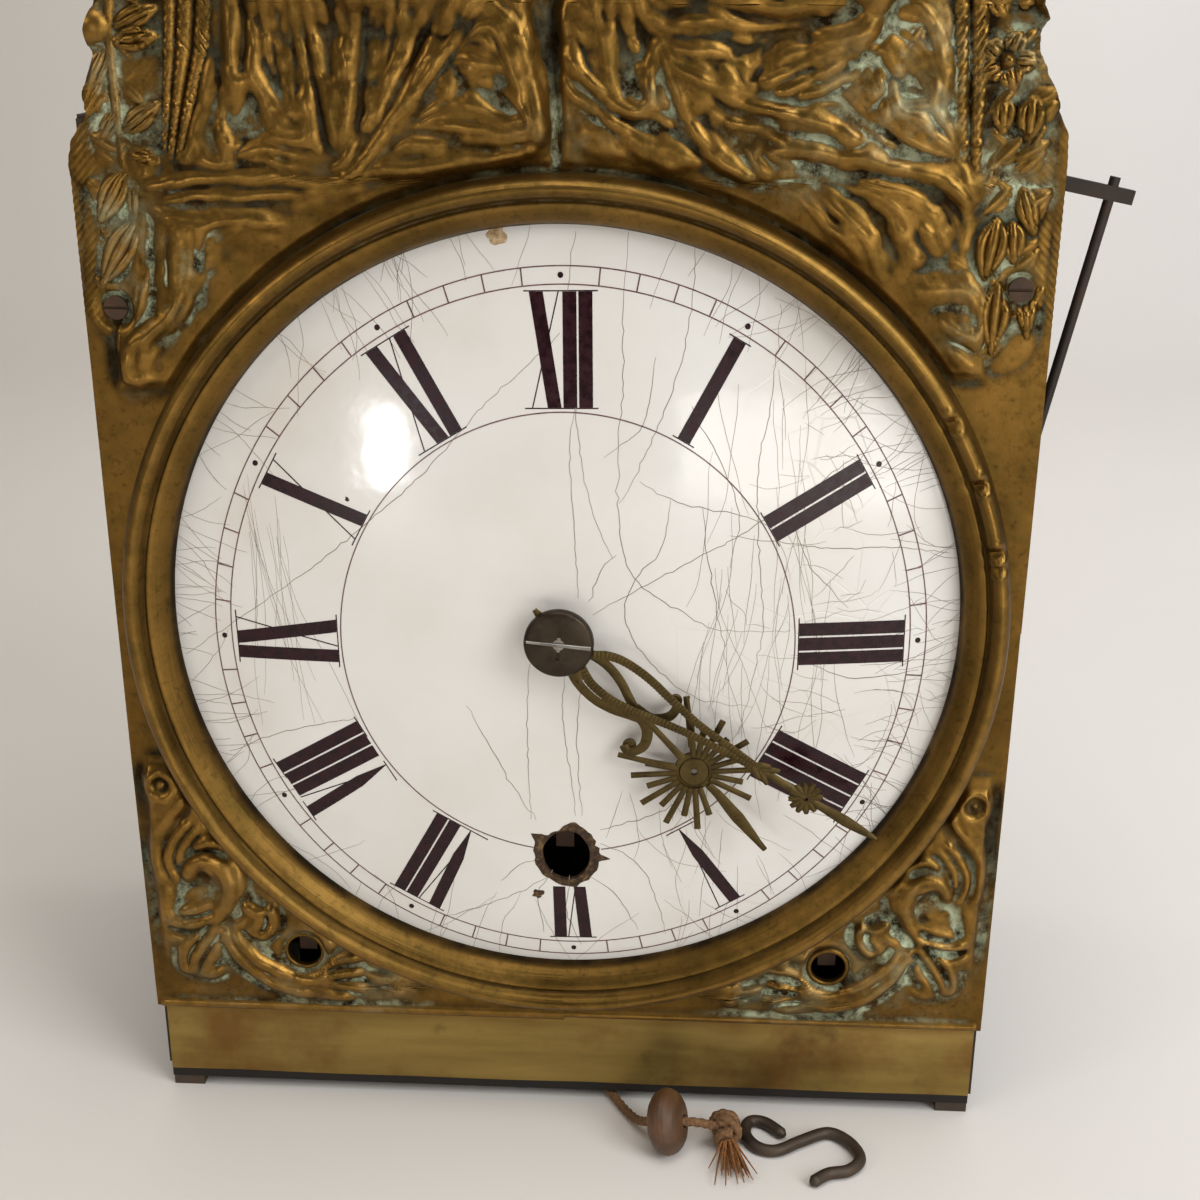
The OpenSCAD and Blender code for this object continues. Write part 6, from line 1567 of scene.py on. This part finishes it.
# families of fine ones: two corners, count, reach from the middle, heading, its mean and spread,
# shortest, longest, bend, share of the width
fineCracks = [
    ((40, 150), (80, 250), 44, 108, math.pi, 0, 0.12, 14, 60, 0.06, 1.0),
    ((-92, 195), (-79, 214), 15, 999, math.pi - 0.12, 0, 0.05, 24, 72, 0.035, 0.8),
    ((52, 118), (108, 232), 64, 110, 0.5 * math.pi, 0, 0.6, 6, 24, 0.2, 1.0),
    ((18, 92), (62, 122), 18, 999, math.pi, -0.2, 0.3, 10, 36, 0.1, 1.0),
]


def hairline(path, width):
    path = np.asarray(path, dtype=float)
    run = np.gradient(path, axis=0)
    run /= np.maximum(np.hypot(run[:, 0], run[:, 1]), 1e-6)[:, None]
    aside = np.stack([-run[:, 1], run[:, 0]], axis=1)
    share = np.linspace(0, 1, len(path))

    def place(u, v):
        middle = np.stack([np.interp(v, share, path[:, k]) for k in range(2)], axis=1)
        normal = np.stack([np.interp(v, share, aside[:, k]) for k in range(2)], axis=1)
        taper = 0.35 + 0.65 * np.sin(np.pi * np.clip(v, 0.03, 0.97)) ** 0.5
        spot = middle + normal * ((u - 0.5) * width * taper)[:, None]
        depth = domeDepth(np.hypot(spot[:, 0], spot[:, 1] - dialZ)) - crackSet["raise"]
        return inMetres(spot[:, 0], depth, spot[:, 1])
    return gridPatch("crack", 1, len(path) - 1, place)


def wandering(random, start, heading, length, bend):
    # a line that drifts from its heading, up to the dial's edge or the hole
    points = [np.array(start, dtype=float)]
    while len(points) < max(4, length / 2.2):
        heading += random.normal(0, bend)
        step = points[-1] + 2.2 * np.array([math.sin(heading), math.cos(heading)])
        fromMiddle = np.hypot(step[0], step[1] - dialZ)
        fromHole = np.hypot(step[0], step[1] - dialSet["windZ"])
        if fromMiddle > crackSet["edge"] or fromHole < 9:
            break
        points.append(step)
    return points


def makeCracks():
    random = np.random.default_rng(23)
    lines = []
    for numbers in longCracks:
        points = np.reshape(numbers, (-1, 2))
        path = smoothPath(np.column_stack([points, np.zeros(len(points))]), 2.0)[:, :2]
        lines.append((path + random.normal(0, 0.22, path.shape), crackSet["wide"]))
    for turn in np.concatenate([random.uniform(0, 2 * np.pi, 90), random.uniform(0.4, 2.2, 60),
                                random.uniform(4.0, 5.9, 40)]):
        edge = (crackSet["edge"] * math.sin(turn), dialZ + crackSet["edge"] * math.cos(turn))
        lines.append((wandering(random, edge, turn + math.pi + random.normal(0, 0.4),
                                random.uniform(6, 30), 0.12), crackSet["thin"]))
    for low, high, count, within, heading, mean, spread, short, long, bend, width in fineCracks:
        for start in random.uniform(low, high, (count, 2)):
            if np.hypot(start[0], start[1] - dialZ) < within:
                way = heading + random.normal(mean, spread)
                path = wandering(random, start, way, random.uniform(short, long), bend)
                lines.append((path, width * crackSet["thin"]))
    pieces = [hairline(path, width) for path, width in lines if len(path) > 3]
    cracks = joinAll(pieces, "dialCracks")
    applyModifier(cracks, "SOLIDIFY", thickness=0.02 * mm, offset=0.0)
    weld(cracks, 1e-9)
    finish = Finish("crackDirt")
    finish.set("Base Color", finish.mix(finish.range(finish.noise(40.0, 4.0), 0.35, 0.65),
                                        srgb(98, 84, 70), srgb(160, 146, 130)))
    finish.set("Roughness", 0.7)
    return dress(cracks, "case", "enamel", finish.material)


makeCracks()
print("enamel cracked")

# enamel broken away round the winding hole and in two small places
chipSet = {
    "hole": [(0, 10.8), (12, 11.7), (25, 11.5), (40, 10.9), (55, 10.4), (75, 10.1), (88, 10.4),
             (95, 13.6), (101, 10.4), (120, 10.6), (135, 10.9), (150, 11.4), (165, 12.0), (180, 12.2),
             (195, 11.2), (210, 10.8), (225, 10.2), (240, 10.3), (255, 9.8), (270, 9.5), (285, 10.2),
             (297, 10.8), (305, 12.9), (310, 11.2), (318, 9.2), (335, 9.3), (350, 9.6)],
    "small": [((-7.9, 80.8), 2.0, 3), ((-18.0, 281.6), 3.0, 8), ((37.0, 150.0), 0.8, 5),
              ((-61.0, 208.0), 0.7, 6)],
}


def chipPatch(name, centre, reach, inner, wall=0.0):
    def place(u, v):
        angle = 2 * np.pi * u
        start = inner(angle)
        radius = start + (reach(angle) - start) * np.clip((v - wall) / (1 - wall), 0, 1)
        x, z = centre[0] + radius * np.sin(angle), centre[1] + radius * np.cos(angle)
        depth = domeDepth(np.hypot(x, z - dialZ)) - 0.05 + 0.02 * v
        depth += 1.6 * np.clip((wall - v) / max(wall, 0.01), 0, 1)
        return inMetres(x, depth, z)
    patch = gridPatch(name, 144, 10, place)
    weld(patch, 1e-5)
    return patch


def makeChips():
    corners = np.array(chipSet["hole"] + [(360, chipSet["hole"][0][1])], dtype=float)
    random = np.random.default_rng(11)
    jag = np.interp(np.linspace(0, 360, 97), np.linspace(0, 360, 49), random.normal(0, 0.35, 49))

    def ragged(angle):
        degrees = np.degrees(angle) % 360
        outline = np.interp(degrees, corners[:, 0], corners[:, 1])
        return outline + np.interp(degrees, np.linspace(0, 360, 97), jag)
    hole = chipPatch("holeChip", (dialSet["windX"], dialSet["windZ"]), ragged,
                     lambda angle: holeReach(angle) - 0.03, 0.3)
    finish = Finish("bareCopper")
    crust = finish.noise(520.0, 5.0, 0.7)
    tone = finish.ramp(crust, [(0.3, srgb(30, 22, 16)), (0.52, srgb(70, 50, 30)),
                               (0.68, srgb(122, 96, 62))])
    finish.set("Base Color", tone)
    finish.set("Metallic", 0.3)
    finish.set("Roughness", 0.75)
    finish.bump(crust, 0.7, 0.0006)
    applyModifier(hole, "SOLIDIFY", thickness=0.04 * mm, offset=-1.0)
    weld(hole, 1e-9)
    dress(hole, "case", "enamel", finish.material)
    dark = finish.material
    pale = Finish("bareEnamel")
    pale.set("Base Color", pale.mix(pale.range(pale.noise(700.0, 4.0), 0.35, 0.65), srgb(196, 172, 134),
                                    srgb(150, 118, 80)))
    pale.set("Roughness", 0.8)
    pale.bump(pale.noise(900.0, 3.0), 0.5, 0.0003)
    spots = []
    for centre, radius, seed in chipSet["small"]:
        wave = np.random.default_rng(seed).uniform(0.55, 1.25, 13)
        wave[-1] = wave[0]

        def uneven(angle):
            return radius * np.interp(np.degrees(angle) % 360, np.linspace(0, 360, 13), wave)
        spots.append(chipPatch("chip", centre, uneven, lambda angle: 0 * angle + 0.01))
    for names, kept, material in (("darkChips", (0, 2, 3), dark), ("paleChip", (1,), pale.material)):
        small = joinAll([spots[i] for i in kept], names)
        applyModifier(small, "SOLIDIFY", thickness=0.04 * mm, offset=-1.0)
        weld(small, 1e-9)
        dress(small, "case", "enamel", material)


makeChips()
print("chips broken out")

# hands: sun for the hours, flower and pearled strands for the minutes
handSet = {"hour": {"angle": 137.5, "back": -11.0, "thick": 1.0},
           "minute": {"angle": 123.5, "back": -14.0, "thick": 1.0}, "pearl": 1.15}


def onHand(hand, along, aside):
    turn = math.radians(hand["angle"])
    return (along * math.sin(turn) - aside * math.cos(turn),
            along * math.cos(turn) + aside * math.sin(turn) + dialZ)


def straight(start, end):
    return [start, tuple(np.mean([start, end], axis=0)), end]


def around(centre, radius, turn):
    return (centre[0] + radius * math.cos(turn), centre[1] + radius * math.sin(turn))


def ribbon(hand, points, widths, crown=0.25, pearled=False, step=0.5):
    # a flat strip along (along, aside) points, a little rounded in front, in pearls where asked
    points = np.asarray(points, dtype=float)
    path = smoothPath(np.column_stack([points, np.zeros(len(points))]), step)[:, :2]
    count = len(path)
    run = np.gradient(path, axis=0)
    run /= np.linalg.norm(run, axis=1)[:, None]
    share = np.linspace(0, 1, count)
    width = np.interp(share, np.linspace(0, 1, len(widths)), widths)
    length = np.linalg.norm(np.diff(path, axis=0), axis=1).sum()
    waves = 0.5 + 0.5 * np.cos(2 * np.pi * share * length / handSet["pearl"])
    pearls = waves if pearled else np.ones(count)
    front = hand["back"] - hand["thick"]
    columns = 6

    def place(u, v):
        index = np.rint(v * (count - 1)).astype(int)
        aside = (u - 0.5) * width[index]
        along = path[index, 0] - run[index, 1] * aside
        off = path[index, 1] + run[index, 0] * aside
        x, z = onHand(hand, along, off)
        edge = 1 - (2 * u - 1) ** 2
        return inMetres(x, front + crown - crown * edge * pearls[index], z)
    strip = gridPatch("strip", columns, count - 1, place)
    applyModifier(strip, "SOLIDIFY", thickness=(hand["thick"] - crown) * mm, offset=-1.0)
    weld(strip, 1e-7)
    return strip


def handDisc(hand, along, aside, profile):
    x, z = onHand(hand, along, aside)
    return lathe("disc", profile, (x, z), 48, False)


def discProfile(hand, inner, outer, boss=0.0):
    front, back = hand["back"] - hand["thick"], hand["back"]
    middle = inner + 0.62 * (outer - inner)
    return [(inner, back), (inner, front - boss), (middle, front - boss), (middle + 0.4, front),
            (outer - 0.2, front), (outer, front + 0.2), (outer, back), (inner, back)]


def makeHourHand():
    hand = handSet["hour"]
    sun = (57.1, 1.0)
    pieces = [handDisc(hand, 0, 0, discProfile(hand, 4.5, 8.0)),
              handDisc(hand, *sun, discProfile(hand, 1.0, 6.0, 0.45))]
    pieces.append(ribbon(hand, [(6.5, 2.5), (12.7, 4.2), (17, 4.6), (21.8, 4.0), (26.5, 2.6), (30, 1.6),
                                (34, 1.2)], [2.6, 2.3, 2.2, 2.6]))
    pieces.append(ribbon(hand, [(6.5, -3), (13, -5.4), (20, -5.5), (26, -3.8), (31, -1.0), (35, 1.2)],
                         [2.6, 2.3, 2.2, 2.6]))
    pieces.append(ribbon(hand, [(30.5, -0.4), (33, 0.6), (35.6, 0.6), (38.5, -0.8), (40.9, -4.1),
                                (40.7, -7.4), (39.2, -9.2), (37.0, -8.8)], [3.4, 3.0, 2.8, 2.4, 2.0]))
    pieces.append(handDisc(hand, 38.4, -7.8, discProfile(hand, 0.05, 2.0)))
    pieces.append(ribbon(hand, [(30.5, 1.5), (35.2, 2.6), (37.6, 4.6), (38.9, 7.6), (38.4, 10.4),
                                (36.8, 12.1)], [3.4, 3.0, 2.8, 2.4, 2.0]))
    pieces.append(handDisc(hand, 36.6, 11.9, discProfile(hand, 0.05, 1.9)))
    for ends, widths in (([(37.2, 1.6), (51.5, 1.4)], [0.8, 1.9]),
                         ([(38.2, -12.1), (51.8, -2.4)], [0.5, 1.8]),
                         ([(37.4, 15.2), (50.5, 6.0)], [0.5, 1.8]),
                         ([(34.0, 1.2), (38.5, 1.4)], [4.0, 1.2])):
        pieces.append(ribbon(hand, straight(*ends), widths, 0.2))
    rays = 24
    for index in range(rays):
        turn = math.radians(7 + 360 / rays * index)
        reach = 18.6 if index % 2 else 14.6
        if math.cos(turn) < -0.9 or math.cos(turn) > 0.97:
            continue
        start = around(sun, 5.2, turn)
        end = around(sun, reach, turn)
        pieces.append(ribbon(hand, straight(start, end), [0.8, 0.9, 1.15], 0.2, False, 1.2))
    pieces.append(ribbon(hand, [(63.0, 1.4), (67.5, 1.6), (73, 1.2), (80, 0.8), (90.2, 0.0)],
                         [1.6, 2.7, 3.6, 2.3, 0.25]))
    hour = joinAll(pieces, "hourHand")
    smoothShade(hour, 40)
    return dress(hour, "hour_work", "hand_brass", finishes["hand_brass"], "hour_hand")


def makeMinuteHand():
    hand = handSet["minute"]
    pieces = [handDisc(hand, 0, 0, discProfile(hand, 3.2, 8.6))]
    upper = [(7.5, 0.6), (10.9, 2.6), (13.6, 4.3), (17.9, 5.5), (23.9, 5.6), (29.6, 4.9), (34.8, 3.8),
             (41.0, 2.6), (47.8, 1.6), (55.3, 1.1), (62, 0.8), (72, 0.2)]
    lower = [(7.5, -1.6), (11.3, -3.9), (15.1, -5.6), (21.1, -6.5), (25.1, -6.3), (29.2, -5.8),
             (33.8, -4.9), (42.1, -3.2), (51.8, -1.8), (62.0, -1.0), (72, -0.2)]
    for line in (upper, lower):
        pieces.append(ribbon(hand, line, [2.4, 2.3, 2.2, 2.0, 1.8, 1.4], 0.3, True, 0.23))
    leaves = [((70, 0.2), (75, 2.8)), ((70, -0.2), (74.4, -2.6)), ((67.5, 0.2), (72, 2.4)),
              ((67.5, -0.2), (71.4, -2.3))]
    for start, end in leaves:
        pieces.append(ribbon(hand, straight(start, end), [0.5, 1.4, 0.15], 0.3, False, 0.8))
    pieces.append(ribbon(hand, [(70, 0), (78, 0.2), (86, 0.1)], [2.0, 1.6, 1.6], 0.4))
    flower = (86.3, 0.1)
    pieces.append(handDisc(hand, *flower, discProfile(hand, 0.8, 2.6, 0.5)))
    for index in range(12):
        turn = math.radians(30 * index + 8)
        start = around(flower, 1.6, turn)
        end = around(flower, 5.0, turn)
        pieces.append(ribbon(hand, straight(start, end), [0.8, 1.6, 0.2], 0.4, False, 0.6))
    pieces.append(ribbon(hand, [(89.5, 0.3), (93, 0.5), (97, 0.7), (103, 0.9), (111, 1.2)],
                         [1.3, 2.4, 3.1, 2.1, 0.2], 0.35))
    for start, end in (((-5.5, 2.6), (-11.0, 4.2)), ((7.0, -3.6), (12.2, -7.4))):
        pieces.append(ribbon(hand, straight(start, end), [4.2, 2.6, 0.2], 0.2, False, 0.8))
    minute = joinAll(pieces, "minuteHand")
    smoothShade(minute, 40)
    return dress(minute, "centre", "hand_brass", finishes["hand_brass"], "minute_hand")


makeHourHand()
makeMinuteHand()
print("hands pierced")

# slotted nut in front of the hands, with its taper pin
nutSet = {"radius": 10.0, "back": -15.3, "thick": 3.0, "hole": 1.7, "slot": 0.5, "pinR": 0.62,
          "pinTilt": 5.0}


def makeNut():
    front = nutSet["back"] - nutSet["thick"]
    profile = [(nutSet["hole"], nutSet["back"]), (nutSet["hole"], front + 0.25), (3.0, front + 0.05),
               (6.5, front), (8.9, front + 0.15), (9.6, front + 0.5), (nutSet["radius"], front + 1.1),
               (nutSet["radius"], nutSet["back"]), (nutSet["hole"], nutSet["back"])]
    nut = lathe("handNut", profile, (0, dialZ), 72, False)
    for turn in (0, 90):
        deselectAll()
        bpy.ops.mesh.primitive_cube_add(size=1, location=(0, front * mm, dialZ * mm),
                                        rotation=(0, math.radians(turn + nutSet["pinTilt"]), 0))
        cutter = bpy.context.object
        cutter.scale = (2.2 * nutSet["radius"] * mm if turn == 0 else 9 * mm, 1.1 * mm,
                        nutSet["slot"] * mm * 2)
        bpy.ops.object.transform_apply(location=True, rotation=True, scale=True)
        applyModifier(nut, "BOOLEAN", object=cutter, operation="DIFFERENCE", solver="EXACT")
        bpy.data.objects.remove(cutter)
    smoothShade(nut, 35)
    dress(nut, "centre", "dark_steel", finishes["dark_steel"], "hand_nut")
    tilt = math.radians(nutSet["pinTilt"])
    ends = [(s * 9.2 * math.cos(tilt), front + 0.25, dialZ - s * 9.2 * math.sin(tilt)) for s in (-1, 1)]
    line = np.linspace(ends[0], ends[1], 24)
    pin = tube("nutPin", mm * line, lambda s, a: mm * nutSet["pinR"] * (0.72 + 0.4 * s), 14)
    dress(pin, "centre", "steel", finishes["steel"], "hand_nut")


makeNut()
print("nut seated")

# wire hook that carries the weight
hookRoute = [(78, -36), (83.5, -31.5), (90, -29.5), (94, -24), (91.5, -16.5), (85, -12), (76, -16.5),
             (68, -21.5), (62, -20), (58.6, -14), (60, -8), (65, -8), (71, -14)]


def makeHook():
    path = smoothPath([(x, y, hookSet["z"]) for x, y in hookRoute], 0.7)

    def wire(s, angle):
        return mm * hookSet["wire"] / 2 * np.clip(np.minimum(s, 1 - s) * 40 + 0.45, 0, 1)
    hook = tube("weightHook", mm * path, wire, 16)
    dress(hook, "case", "wrought_iron", finishes["wrought_iron"], "weight_hook")


makeHook()
print("hook bent")
